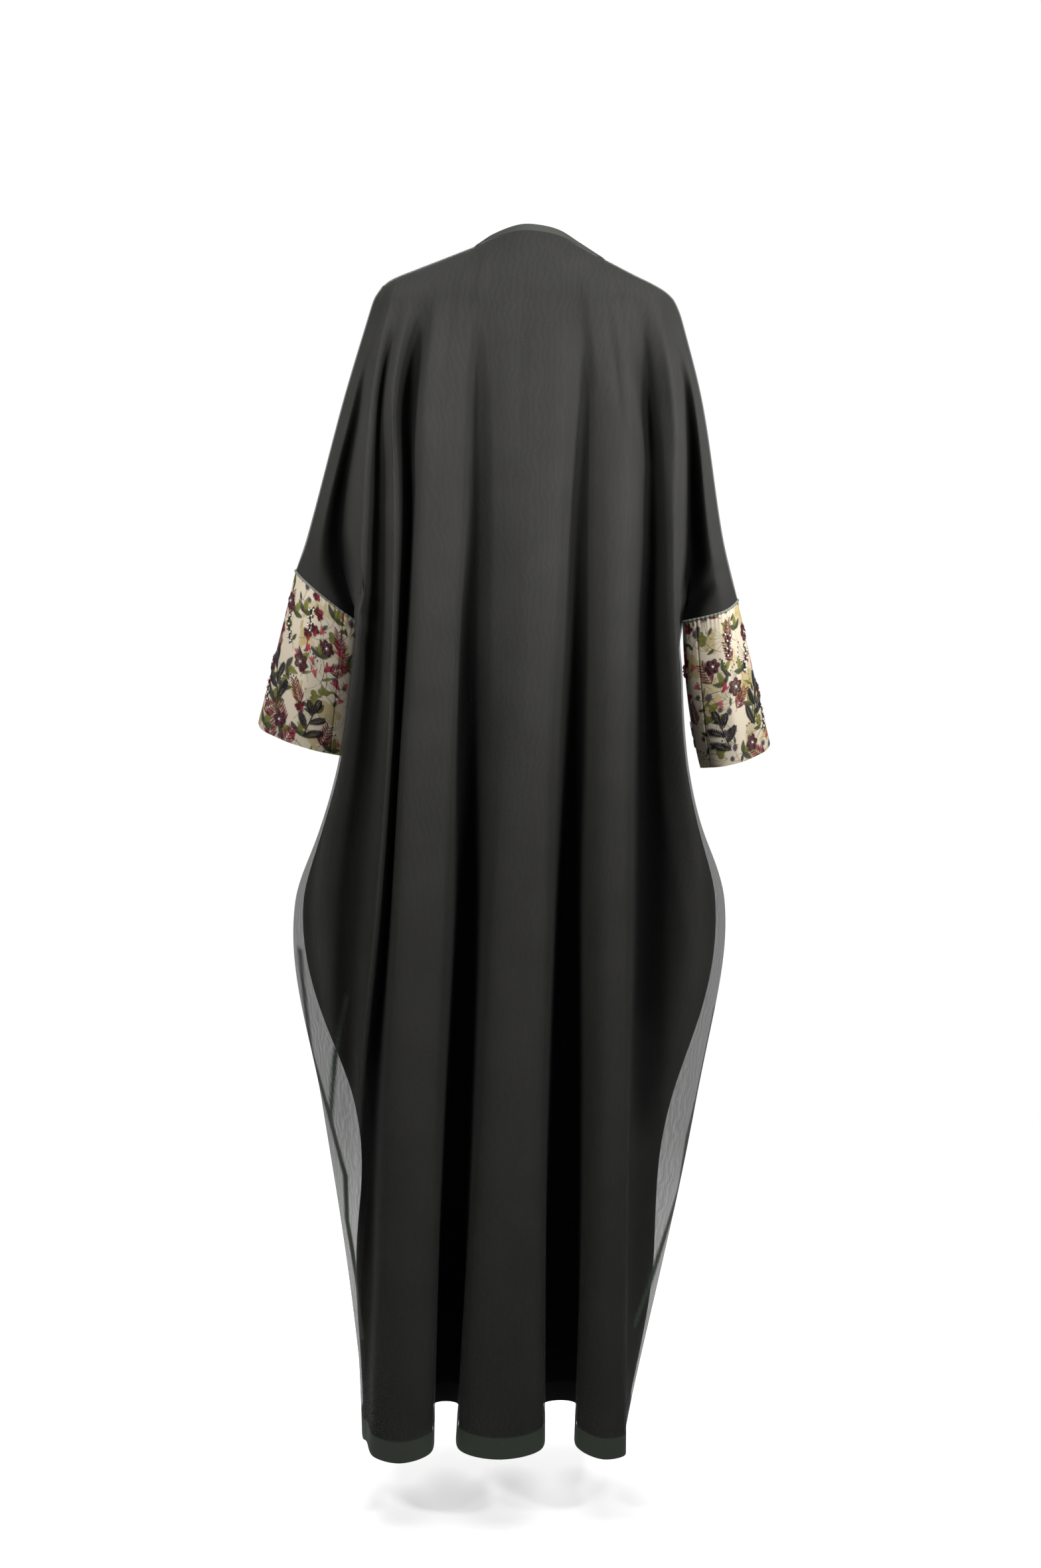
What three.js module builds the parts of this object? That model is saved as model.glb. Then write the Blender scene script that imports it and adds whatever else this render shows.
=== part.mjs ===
// Embroidered abaya, worn shape: a sheer overlay over a lining, two fronts left open, printed cuffs.
// Millimetres, +Z up. The front faces -Y, the wearer's left is +X, the origin is the middle of the neck.
import * as THREE from "three";

// Walls and gaps
const overlayWall = 1.3;
const hemWall = 2.2; // the hem is turned twice
const liningWall = 1.2;
const cuffWall = 1.8;
const bandWall = 2.2;
const seamGap = 0.3;
const seamSpare = 0.02; // keeps a seam's gap from rounding down
const underarmPull = 0.1; // the lining's underarm corner, drawn back less because its wall folds tightly
const cuffGap = 1.5 * seamGap;
const layerGap = 4.5; // overlay to lining
const layerGapAtNeck = 1;
const bandWidth = 9;
const bandStandsOut = 0.4; // neck band proud of the panels
const bandFall = { shoulder: 0.36, chest: 0.5 }; // share of its width that it drops, and more towards the chest
const neckMiddleY = -15;
const hemBand = 28;
const liningHemRise = 16; // the lining is shorter than the overlay

// Lining hangs in from the sides of the overlay between hip and calf
const slackDepth = 30;
const slackNext = 10; // the next fold lies this much deeper
const slackMiddle = -1110;
const slackSpread = 150;

// Heights of the sections below
const yokeZ = -82;
const armpitZ = -467;
const widestZ = -815;
const hemZ = -1474;
const shoulderSlope = 0.4; // share of the yoke's drop that is straight, before the round of the shoulder
const armpitTilt = 0.8; // how far the seam ends' thickness turns down under the arm
const xHeights = [yokeZ, -200, -360, armpitZ, -620, widestZ, -1070, hemZ];
const yHeights = [yokeZ, -200, armpitZ, widestZ, hemZ];

// Rows of the grid: over the shoulder, down to the armpit, down to the hem
const shoulderSteps = [0, 0.35, 0.7, 1];
const sleeveSteps = [0.15, 0.32, 0.5, 0.7, 0.86, 1];
const skirtSteps = [0.08, 0.16, 0.25, 0.35, 0.47, 0.6, 0.74, 0.88];
const cuffSteps = [0, 0.2, 0.4, 0.6, 0.8, 1];
const bodySegments = 2; // columns between two folds
const sleeveSegments = 4;

// Edge of the neck and the shoulder seams, from the left shoulder tip over the back to the right one
const backEdge = [
  { x: 194, y: 0, z: -54 },
  { x: 70, y: 12, z: -6, neck: true },
  { x: 54, y: 30, z: 2, neck: true },
  { x: 21, y: 54, z: 10, neck: true },
  { x: 0, y: 57, z: 9, neck: true },
  { x: -24, y: 50, z: 4, neck: true },
  { x: -48, y: 32, z: -8, neck: true },
  { x: -72, y: 12, z: -21, neck: true },
  { x: -168, y: 0, z: -70 },
];
// The same from each shoulder tip down the front of the neck
const frontEdgeLeft = [
  { x: 194, y: 0, z: -54 },
  { x: 70, y: 12, z: -6, neck: true },
  { x: 64, y: -20, z: -24, neck: true },
  { x: 50, y: -54, z: -54, neck: true },
  { x: 30, y: -80, z: -84, neck: true },
  { x: 9, y: -94, z: -100, neck: true },
];
const frontEdgeRight = [
  { x: -168, y: 0, z: -70 },
  { x: -72, y: 12, z: -21, neck: true },
  { x: -66, y: -20, z: -36, neck: true },
  { x: -52, y: -54, z: -62, neck: true },
  { x: -30, y: -80, z: -87, neck: true },
  { x: -9, y: -94, z: -100, neck: true },
];

// One row a fold, from the wearer's left to the right. edge: place along the upper edge, in points
// of its list. x and y: the fold at the heights above. rise: how far its hem lies above the lowest.
const outerLeft = { edge: 0, x: [205, 242, 288, 304], y: [0, -10, -60], seamZ: -403 };
const outerRight = { edge: 8, x: [-172, -203, -231, -251], y: [0, -10, -60], seamZ: -440 };
const sideLeft = {
  side: true, edge: 0.15, x: [187, 216, 245, 225, 207, 293, 261, 216], y: [62, 30, -20, 0, 0],
};
const sideRight = {
  side: true, edge: 7.72, x: [-152, -179, -188, -181, -162, -224, -197, -113], y: [62, 30, -20, 0, 0],
};
const backFolds = [
  outerLeft,
  { edge: 0.08, x: [196, 226, 268, 274], y: [35, 34, 0], seamZ: -430 },
  sideLeft,
  { edge: 0.26, x: [178, 199, 210, 217, 238, 277, 247, 219], y: [78, 98, 104, 80, 32] },
  { edge: 0.36, x: [166, 189, 193, 194, 206, 228, 232, 220], y: [82, 76, 72, 62, 58] },
  { edge: 0.52, x: [153, 172, 171, 174, 180, 195, 219, 217], y: [85, 108, 118, 122, 86] },
  { edge: 0.66, x: [137, 154, 156, 162, 170, 183, 202, 211], y: [87, 72, 62, 62, 114], rise: 6 },
  { edge: 0.83, x: [120, 133, 143, 148, 160, 170, 184, 200], y: [90, 112, 122, 135, 150] },
  { edge: 1, x: [98, 109, 117, 122, 132, 140, 152, 165], y: [94, 116, 128, 142, 172] },
  { edge: 1.6, x: [81, 87, 93, 98, 105, 113, 123, 131], y: [96, 112, 120, 134, 160], rise: 8 },
  { edge: 2.1, x: [69, 75, 79, 86, 89, 88, 98, 117], y: [98, 90, 78, 60, 42], rise: 30 },
  { edge: 3, x: [35, 36, 36, 36, 42, 56, 70, 96], y: [100, 104, 112, 124, 156], rise: 10 },
  { edge: 4, x: [3, 3, 7, 10, 15, 24, 33, 47], y: [101, 112, 124, 138, 176], rise: 6 },
  { edge: 5, x: [-29, -29, -22, -18, -11, -9, -3, -2], y: [100, 112, 122, 134, 166], rise: 14 },
  { edge: 5.6, x: [-51, -53, -48, -48, -44, -36, -32, -27], y: [98, 92, 82, 60, 40], rise: 30 },
  { edge: 6.3, x: [-69, -67, -65, -64, -63, -62, -62, -46], y: [96, 104, 112, 118, 138], rise: 8 },
  { edge: 7, x: [-88, -87, -85, -84, -83, -83, -83, -76], y: [92, 112, 128, 138, 158] },
  { edge: 7.27, x: [-106, -106, -106, -105, -105, -105, -105, -104], y: [88, 112, 125, 136, 146] },
  { edge: 7.42, x: [-121, -132, -136, -130, -128, -128, -117, -103], y: [84, 76, 64, 52, 98], rise: 4 },
  { edge: 7.58, x: [-140, -160, -162, -164, -176, -200, -178, -110], y: [78, 98, 104, 80, 48] },
  sideRight,
  { edge: 7.86, x: [-162, -190, -210, -228], y: [35, 36, 4], seamZ: -455 },
  outerRight,
];
const sideFrontLeft = {
  ...sideLeft, edge: 0.13, x: [170, 186, 206, ...sideLeft.x.slice(3)], y: [-50, -74, -20, 0, 0],
};
const sideFrontRight = {
  ...sideRight, edge: 0.28, x: [-146, -160, -172, ...sideRight.x.slice(3)], y: [-50, -74, -20, 0, 0],
};
const frontFoldsLeft = [
  outerLeft,
  { edge: 0.05, x: [196, 222, 256, 250], y: [-36, -58, -82], seamZ: -432 },
  sideFrontLeft,
  { edge: 0.26, x: [152, 160, 172, 182, 180, 238, 222, 196], y: [-76, -100, -96, -92, -72] },
  { edge: 0.43, x: [122, 126, 134, 142, 142, 180, 178, 160], y: [-84, -86, -80, -78, -70], rise: 8 },
  { edge: 1, yoke: -104, x: [95, 98, 104, 108, 108, 128, 135, 125], y: [-92, -112, -118, -125, -130] },
  { edge: 2, yoke: -118, x: [66, 66, 67, 68, 68, 80, 90, 88], y: [-97, -98, -95, -92, -86], rise: 8 },
  { edge: 3.6, yoke: -132, x: [36, 34, 36, 38, 38, 44, 52, 54], y: [-103, -118, -124, -130, -136] },
  { edge: 5, yoke: -138, x: [9, 9, 9, 9, 10, 12, 16, 22], y: [-105, -112, -116, -118, -120], rise: 4 },
];
const frontFoldsRight = [
  { ...outerRight, edge: 0 },
  { edge: 0.09, x: [-162, -190, -216, -224], y: [-36, -60, -94], seamZ: -455 },
  sideFrontRight,
  { edge: 0.42, x: [-128, -136, -144, -148, -146, -190, -168, -116], y: [-76, -100, -96, -92, -66] },
  { edge: 0.63, x: [-108, -112, -116, -118, -118, -148, -140, -106], y: [-84, -88, -82, -80, -78], rise: 8 },
  { edge: 1, yoke: -104, x: [-90, -92, -94, -96, -96, -108, -112, -94], y: [-92, -112, -118, -125, -128] },
  { edge: 2, yoke: -118, x: [-66, -64, -64, -64, -64, -72, -78, -72], y: [-97, -98, -95, -92, -84], rise: 8 },
  { edge: 3.6, yoke: -132, x: [-36, -34, -34, -35, -35, -40, -46, -46], y: [-103, -118, -124, -130, -134] },
  { edge: 5, yoke: -138, x: [-9, -9, -9, -9, -10, -12, -16, -22], y: [-105, -112, -116, -118, -120], rise: 4 },
];

// Lower edge of each cuff: the outermost, back, inner and front points of its ring
const cuffEnds = {
  left: [[357, -78, -603], [305, -30, -622], [246, -62, -638], [300, -112, -618]],
  right: [[-297, -80, -629], [-252, -24, -645], [-214, -62, -653], [-258, -122, -640]],
};

// Value at a height from a list of values at given heights, through a smooth curve
function valueAt(heights, values, z) {
  let k = 0;
  while (k < values.length - 2 && z < heights[k + 1]) k += 1;
  const slope = (i) => {
    const a = Math.max(i - 1, 0);
    const b = Math.min(i + 1, values.length - 1);
    return (values[b] - values[a]) / (heights[b] - heights[a]);
  };
  const span = heights[k + 1] - heights[k];
  const t = (z - heights[k]) / span;
  const t2 = t * t;
  const t3 = t2 * t;
  return (
    values[k] * (2 * t3 - 3 * t2 + 1) + values[k + 1] * (3 * t2 - 2 * t3) +
    span * (slope(k) * (t3 - 2 * t2 + t) + slope(k + 1) * (t3 - t2))
  );
}

const vec = (x, y, z) => new THREE.Vector3(x, y, z);

// Point of the neck's edge moved out by the band's width, towards the shoulder or the chest
function belowBand(p) {
  if (!p.neck) return vec(p.x, p.y, p.z);
  const out = vec(p.x, p.y - neckMiddleY, 0).normalize();
  const down = bandFall.shoulder + bandFall.chest * Math.abs(out.y);
  const across = Math.sqrt(1 - down * down);
  return vec(p.x + out.x * across * bandWidth, p.y + out.y * across * bandWidth, p.z - down * bandWidth);
}

// The edge's two lines as curves: the neck's rim, and the line below the band that the panels reach.
// place counts the edge's points; outside the neck the line is straight.
function edgeCurves(edge) {
  const first = edge.findIndex((p) => p.neck);
  const neck = edge.filter((p) => p.neck);
  const rim = new THREE.CatmullRomCurve3(neck.map((p) => vec(p.x, p.y, p.z)), false, "centripetal");
  const low = new THREE.CatmullRomCurve3(neck.map(belowBand), false, "centripetal");
  const share = (place) => (place - first) / (neck.length - 1);
  return {
    isNeck: (place) => place >= first && place <= first + neck.length - 1,
    rim: (place) => rim.getPoint(share(place)),
    low(place) {
      if (this.isNeck(place)) return low.getPoint(Math.min(Math.max(share(place), 0), 1));
      const k = Math.min(Math.floor(place), edge.length - 2);
      return belowBand(edge[k]).lerp(belowBand(edge[k + 1]), place - k);
    },
  };
}

// Points down one fold: a rounded shoulder, then the table's curve to the cuff or the hem
function foldPoints(fold, edge, hemRise) {
  const top = edge.low(fold.edge);
  const yoke = fold.yoke ?? yokeZ;
  const seam = fold.seamZ ?? armpitZ;
  const xs = [yoke, -200, -360, seam, ...xHeights.slice(4)];
  const ys = [yoke, -200, seam, ...yHeights.slice(3)];
  const at = (z) => vec(valueAt(xs, fold.x, z), valueAt(ys, fold.y, z), z);
  const low = { xs: xs.slice(3), x: fold.x.slice(3), ys: ys.slice(2), y: fold.y.slice(2) };
  const atSkirt = fold.side // a side seam starts afresh at the armpit, the same on both panels
    ? (z) => vec(valueAt(low.xs, low.x, z), valueAt(low.ys, low.y, z), z)
    : at;
  const start = at(yoke);
  const points = shoulderSteps.map((s) => {
    const turn = (s * Math.PI) / 2;
    const down = shoulderSlope * s + (1 - shoulderSlope) * (1 - Math.cos(turn));
    return vec(
      top.x + (start.x - top.x) * s,
      top.y + (start.y - top.y) * Math.sin(turn),
      top.z + (start.z - top.z) * down,
    );
  });
  for (const s of sleeveSteps) points.push(at(yoke + (seam - yoke) * s));
  if (fold.seamZ !== undefined) return points;
  const end = hemZ + (fold.rise ?? 0) + hemRise;
  const bandTop = end + hemBand;
  for (const s of skirtSteps) points.push(atSkirt(armpitZ + (bandTop - armpitZ) * s));
  points.push(atSkirt(bandTop));
  points.push(atSkirt(end));
  return points;
}

const sleeveRows = shoulderSteps.length + sleeveSteps.length;
const allRows = sleeveRows + skirtSteps.length + 2;

// The lining's folds next to a side seam lie straight between that seam, drawn in, and a fold further on
function slacken(lines, side, step, count) {
  const last = lines[side + step * count];
  for (let row = sleeveRows; row < allRows; row += 1) {
    const seam = lines[side][row];
    const share = Math.exp(-(((seam.z - slackMiddle) / slackSpread) ** 2));
    seam.x -= Math.sign(seam.x) * slackDepth * share;
    last[row].y -= Math.sign(last[row].y) * slackNext * share;
    for (let k = 1; k < count; k += 1) {
      lines[side + step * k][row].lerp(seam.clone().lerp(last[row], k / count), share);
    }
  }
}

// Unit step from one point to another, or none
function unitStep(from, to) {
  return to ? to.clone().sub(from).normalize() : vec(0, 0, 0);
}

// Grid of a panel. lines: its folds. beyond: for the sleeve and for the skirt, the next two folds of
// the panel past each seam, which keep the surface round there. facing: 1 or -1, so normals point out.
function panelGrid(lines, places, edge, sleeves, beyond, facing) {
  const first = sleeves.start ? 2 : 0;
  const last = lines.length - 1 - (sleeves.end ? 2 : 0);
  const columns = [];
  for (let k = 0; k < lines.length - 1; k += 1) {
    const segments = k < first || k >= last ? sleeveSegments : bodySegments;
    for (let s = 0; s < segments; s += 1) columns.push(k + s / segments);
  }
  columns.push(lines.length - 1);
  const placeAt = (c) => {
    const k = Math.min(Math.floor(c), places.length - 2);
    return places[k] + (places[k + 1] - places[k]) * (c - k);
  };
  const sample = (row, wide) => {
    const from = wide ? 0 : first;
    const to = wide ? lines.length - 1 : last;
    const { start, end } = wide ? beyond.sleeve : beyond.skirt;
    const before = start.map((line) => line[row]).reverse();
    const after = end.map((line) => line[row]);
    const path = [...before, ...lines.slice(from, to + 1).map((line) => line[row]), ...after];
    const curve = new THREE.CatmullRomCurve3(path, false, "centripetal");
    const at = (c) => curve.getPoint((c - from + before.length) / (path.length - 1));
    const segments = wide ? sleeveSegments : bodySegments;
    const cells = columns.map((c) => (c < from || c > to ? null : { point: at(c) }));
    if (wide && row === sleeveRows - 1) {
      for (const atEnd of sleeves.end ? [false, true] : [false]) {
        const own = atEnd ? [...lines].reverse() : lines;
        const other = (atEnd ? end : start)[0];
        const ring = new THREE.CatmullRomCurve3([own[0], own[1], own[2], other].map((line) => line[row]), true);
        ring.curveType = "centripetal";
        columns.forEach((c, i) => {
          const turn = atEnd ? lines.length - 1 - c : c;
          if (turn < 2) cells[i].point = ring.getPoint(turn / 4);
        });
      }
    }
    cells.forEach((cell, i) => {
      if (!cell) return;
      cell.before = cells[i - 1]?.point ?? (before.length ? at(columns[i] - 1 / segments) : null);
      cell.after = cells[i + 1]?.point ?? (after.length ? at(columns[i] + 1 / segments) : null);
    });
    return cells;
  };
  const rows = [];
  for (let row = 0; row < allRows; row += 1) rows.push(sample(row, row < sleeveRows));
  rows.forEach((cells) => cells.forEach((cell, i) => { if (cell) cell.fold = columns[i]; }));
  rows[0].forEach((cell, i) => {
    cell.place = placeAt(columns[i]);
    cell.isNeck = edge.isNeck(cell.place);
    cell.point = edge.low(cell.place);
  });
  const armpit = sample(sleeveRows - 1, false); // its normal is the skirt's, the same on both panels
  rows.forEach((cells, row) => cells.forEach((cell, i) => {
    if (!cell) return;
    const atArmpit = row === sleeveRows - 1 && (columns[i] === first || columns[i] === last) && first > 0;
    const ends = atArmpit && armpit[i] && (columns[i] === first || sleeves.end) ? armpit[i] : cell;
    const across = unitStep(cell.point, ends.after).sub(unitStep(cell.point, ends.before));
    const above = ends === cell ? rows[row - 1]?.[i]?.point : null;
    const down = unitStep(cell.point, rows[row + 1]?.[i]?.point).sub(unitStep(cell.point, above));
    cell.normal = down.cross(across).multiplyScalar(facing).normalize();
    if (ends !== cell) { // where the side seam starts, facing down as the sleeve does
      cell.corner = true;
      cell.normal.add(vec(0, 0, -armpitTilt)).normalize();
    }
    if (row > 0 || cell.isNeck) return;
    const along = edge.low(0).sub(edge.low(0.5)).normalize(); // shoulder seam: straight up from its line
    const end = places[places.length - 1];
    const other = edge.low(end).sub(edge.low(end - 0.5)).normalize();
    const line = cell.place < 1 ? along : other;
    cell.normal = vec(0, 0, 1).addScaledVector(line, -line.z).normalize();
  }));
  return rows;
}

// The part of a grid between two folds
function between(rows, from, to) {
  return rows.map((cells) => cells.map((cell) => (cell && cell.fold >= from && cell.fold <= to ? cell : null)));
}

// Closed wall from a grid: the points moved by depth.outer and depth.inner along their normals,
// drawn back from the edges by half a seam gap
function wall(name, rows, facing, depthAt, material) {
  const has = (r, c) => Boolean(rows[r]?.[c]);
  const cell = (r, c) => has(r, c) && has(r + 1, c) && has(r, c + 1) && has(r + 1, c + 1);
  const drawn = rows.map((cells, r) => cells.map((here, c) => {
    if (!here) return null;
    const p = here.point.clone();
    const pull = (r2, c2, open) => {
      if (!open || !has(r2, c2)) return;
      const length = (here.corner && depthAt(r).cornerPull) || seamGap / 2 + seamSpare;
      p.add(rows[r2][c2].point.clone().sub(here.point).setLength(length));
    };
    const [upLeft, upRight] = [cell(r - 1, c - 1), cell(r - 1, c)];
    const [downLeft, downRight] = [cell(r, c - 1), cell(r, c)];
    const leftOpen = !upLeft && !downLeft;
    const rightOpen = !upRight && !downRight;
    const inCorner = here.corner && upLeft && upRight;
    pull(r, c + 1, leftOpen || (inCorner && !downLeft));
    pull(r, c - 1, rightOpen || (inCorner && !downRight));
    pull(r + 1, c, !upLeft && !upRight);
    pull(r - 1, c, (!downLeft && !downRight) || here.corner);
    return p;
  }));
  const positions = [];
  const index = new Map();
  const vertex = (r, c, inner) => {
    const key = `${r},${c},${inner}`;
    if (!index.has(key)) {
      const depth = depthAt(r);
      const p = drawn[r][c].clone().addScaledVector(rows[r][c].normal, inner ? -depth.inner : -depth.outer);
      index.set(key, positions.length / 3);
      positions.push(p.x, p.y, p.z);
    }
    return index.get(key);
  };
  const faces = [];
  const quad = (a, b, c, d) => (facing > 0 ? faces.push(a, b, c, a, c, d) : faces.push(a, c, b, a, d, c));
  const side = (r1, c1, r2, c2) =>
    quad(vertex(r1, c1, false), vertex(r2, c2, false), vertex(r2, c2, true), vertex(r1, c1, true));
  for (let r = 0; r < rows.length - 1; r += 1) {
    for (let c = 0; c < rows[r].length - 1; c += 1) {
      if (!cell(r, c)) continue;
      const around = [[r, c], [r + 1, c], [r + 1, c + 1], [r, c + 1]];
      quad(...around.map(([i, j]) => vertex(i, j, false)));
      const [a, b, d, e] = around.map(([i, j]) => vertex(i, j, true));
      quad(a, e, d, b); // the same diagonal as outside
      if (!cell(r - 1, c)) side(r, c, r, c + 1);
      if (!cell(r + 1, c)) side(r + 1, c + 1, r + 1, c);
      if (!cell(r, c - 1)) side(r + 1, c, r, c);
      if (!cell(r, c + 1)) side(r, c + 1, r + 1, c + 1);
    }
  }
  const geometry = new THREE.BufferGeometry();
  geometry.setAttribute("position", new THREE.Float32BufferAttribute(positions, 3));
  geometry.setIndex(faces);
  geometry.computeVertexNormals();
  const mesh = new THREE.Mesh(geometry, new THREE.MeshStandardMaterial(material));
  mesh.name = name;
  return mesh;
}

// Materials
const organza = { color: "#4a4b45", roughness: 0.55, metalness: 0 };
const crepe = { color: "#2b2a2b", roughness: 0.9, metalness: 0 };
const printed = { color: "#d6c6ab", roughness: 0.85, metalness: 0 };
const binding = { color: "#3a3b37", roughness: 0.7, metalness: 0 };

// Panels of a layer. folds next to the seams: sleeve is the fold beside the arm's ridge, and skirt
// those beside the side seam. slack: side fold, way to step and how many steps the lining lies straight.
// walls: the overlay's solids and the folds that they lie between. The back's three meet in two valleys,
// where the cloth has no seam.
const backLast = backFolds.length - 1;
const valleyLeft = backFolds.findIndex((fold) => fold.edge === 2.1);
const valleyRight = backFolds.findIndex((fold) => fold.edge === 5.6);
const panels = {
  back: {
    folds: backFolds, edge: edgeCurves(backEdge), facing: 1, sleeves: { start: true, end: true },
    slack: [[2, 1, 4], [backLast - 2, -1, 2]],
    sleeveBeyond: { start: ["front_left", 1, 2], end: ["front_right", 1, 2] },
    skirtBeyond: { start: ["front_left", 3, 4], end: ["front_right", 3, 4] },
    walls: {
      outer_back_left: [0, valleyLeft],
      outer_back_middle: [valleyLeft, valleyRight],
      outer_back_right: [valleyRight, backLast],
    },
  },
  front_left: {
    folds: frontFoldsLeft, edge: edgeCurves(frontEdgeLeft), facing: -1, sleeves: { start: true, end: false },
    slack: [[2, 1, 2]],
    sleeveBeyond: { start: ["back", 1, 2] },
    skirtBeyond: { start: ["back", 3, 4] },
    walls: { outer_front_left: [0, frontFoldsLeft.length - 1] },
  },
  front_right: {
    folds: frontFoldsRight, edge: edgeCurves(frontEdgeRight), facing: 1, sleeves: { start: true, end: false },
    slack: [[2, 1, 2]],
    sleeveBeyond: { start: ["back", backLast - 1, backLast - 2] },
    skirtBeyond: { start: ["back", backLast - 3, backLast - 4] },
    walls: { outer_front_right: [0, frontFoldsRight.length - 1] },
  },
};

// Grids of all panels of one layer
function layerGrids(lining) {
  const lines = {};
  for (const [name, panel] of Object.entries(panels)) {
    lines[name] = panel.folds.map((fold) => foldPoints(fold, panel.edge, lining ? liningHemRise : 0));
    if (lining) for (const [side, step, count] of panel.slack) slacken(lines[name], side, step, count);
  }
  const near = (list) => (list ? list.slice(1).map((k) => lines[list[0]][k]) : []);
  const nearBoth = (item) => ({ start: near(item.start), end: near(item.end) });
  const grids = {};
  for (const [name, panel] of Object.entries(panels)) {
    const beyond = { sleeve: nearBoth(panel.sleeveBeyond), skirt: nearBoth(panel.skirtBeyond) };
    const places = panel.folds.map((fold) => fold.edge);
    grids[name] = panelGrid(lines[name], places, panel.edge, panel.sleeves, beyond, panel.facing);
  }
  return grids;
}

// Neck band: along the panels' upper ends, from one front over the back to the other
function bandRowsFor(grids) {
  const ends = Object.entries(grids).map(([name, rows]) =>
    rows[0].filter((cell) => cell.isNeck).map((cell) => ({ cell, edge: panels[name].edge })));
  const [back, left, right] = ends;
  const chain = [...left.reverse(), ...back.slice(1, -1), ...right];
  const upper = chain.map(({ cell, edge }) => ({ point: edge.rim(cell.place) }));
  const lower = chain.map(({ cell }) => ({ point: cell.point }));
  chain.forEach(({ cell }, i) => {
    const here = lower[i].point;
    const along = unitStep(here, lower[i + 1]?.point).sub(unitStep(here, lower[i - 1]?.point));
    const down = unitStep(upper[i].point, lower[i].point);
    const normal = down.cross(along).normalize();
    upper[i].normal = normal;
    lower[i].normal = normal;
    cell.normal = normal;
  });
  for (const [k, end] of [[0, left[left.length - 1]], [back.length - 1, right[0]]]) {
    back[k].cell.normal = end.cell.normal; // the shoulder seam's upper corner
  }
  return [upper, lower];
}

const group = new THREE.Group();
group.name = "embroidered_abaya";
const overlay = layerGrids(false);
const lining = layerGrids(true);
const bandRows = bandRowsFor(overlay);
bandRowsFor(lining);
const liningStart = overlayWall + layerGap;
const overlayDepth = (row) => ({ outer: row === allRows - 1 ? overlayWall - hemWall : 0, inner: overlayWall });
const liningDepth = (row) => {
  const outer = row === 0 ? overlayWall + layerGapAtNeck : liningStart;
  return { outer, inner: outer + liningWall, cornerPull: underarmPull };
};
for (const [name, panel] of Object.entries(panels)) {
  for (const [node, [from, to]] of Object.entries(panel.walls)) {
    group.add(wall(node, between(overlay[name], from, to), panel.facing, overlayDepth, organza));
  }
  group.add(wall(`inner_${name}`, lining[name], panel.facing, liningDepth, crepe));
}
const bandDepth = () => ({ outer: -bandStandsOut, inner: bandWall - bandStandsOut });
group.add(wall("neck_band", bandRows, 1, bandDepth, binding));

// Cuff: a tube from the sleeve's end to its own lower ring
function cuff(name, side, back, front, ring) {
  const row = sleeveRows - 1;
  const count = 2 * sleeveSegments;
  const backCells = side === "left" ? back[row].slice(0, count + 1) : back[row].slice(-count - 1).reverse();
  const frontCells = front[row].slice(0, count + 1).reverse();
  const upper = [...backCells, ...frontCells.slice(1)].map((cell) => cell.point);
  const corners = ring.map(([x, y, z]) => vec(x, y, z));
  const lowerCurve = new THREE.CatmullRomCurve3(corners, true, "centripetal");
  const n = upper.length - 1;
  const middle = new THREE.Vector3();
  upper.slice(0, n).forEach((p) => middle.addScaledVector(p, 1 / n));
  const end = new THREE.Vector3();
  corners.forEach((p) => end.addScaledVector(p, 1 / corners.length));
  const axis = end.clone().sub(middle).normalize();
  const facing = side === "left" ? 1 : -1;
  const rows = cuffSteps.map((s) => upper.map((p, i) => {
    const wrapped = i % n;
    const bottom = lowerCurve.getPoint(wrapped / n);
    const top = upper[wrapped].clone().addScaledVector(axis, cuffGap);
    const point = top.lerp(bottom, s);
    const centre = middle.clone().lerp(end, s);
    const out = point.clone().sub(centre);
    return { point, normal: out.addScaledVector(axis, -out.dot(axis)).normalize() };
  }));
  return tube(name, rows, n, facing);
}

// Closed tube wall from rings of points
function tube(name, rows, n, facing) {
  const positions = [];
  for (const inner of [0, cuffWall]) {
    for (const ring of rows) {
      for (let i = 0; i < n; i += 1) {
        const p = ring[i].point.clone().addScaledVector(ring[i].normal, -inner);
        positions.push(p.x, p.y, p.z);
      }
    }
  }
  const at = (inner, r, i) => (inner * rows.length + r) * n + (i % n);
  const faces = [];
  const quad = (a, b, c, d) => (facing > 0 ? faces.push(a, b, c, a, c, d) : faces.push(a, c, b, a, d, c));
  for (let i = 0; i < n; i += 1) {
    for (let r = 0; r < rows.length - 1; r += 1) {
      quad(at(0, r, i), at(0, r + 1, i), at(0, r + 1, i + 1), at(0, r, i + 1));
      quad(at(1, r, i), at(1, r, i + 1), at(1, r + 1, i + 1), at(1, r + 1, i));
    }
    const last = rows.length - 1;
    quad(at(0, 0, i), at(0, 0, i + 1), at(1, 0, i + 1), at(1, 0, i));
    quad(at(0, last, i + 1), at(0, last, i), at(1, last, i), at(1, last, i + 1));
  }
  const geometry = new THREE.BufferGeometry();
  geometry.setAttribute("position", new THREE.Float32BufferAttribute(positions, 3));
  geometry.setIndex(faces);
  geometry.computeVertexNormals();
  const mesh = new THREE.Mesh(geometry, new THREE.MeshStandardMaterial(printed));
  mesh.name = name;
  return mesh;
}
group.add(cuff("cuff_left", "left", overlay.back, overlay.front_left, cuffEnds.left));
group.add(cuff("cuff_right", "right", overlay.back, overlay.front_right, cuffEnds.right));

export default group;
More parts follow.
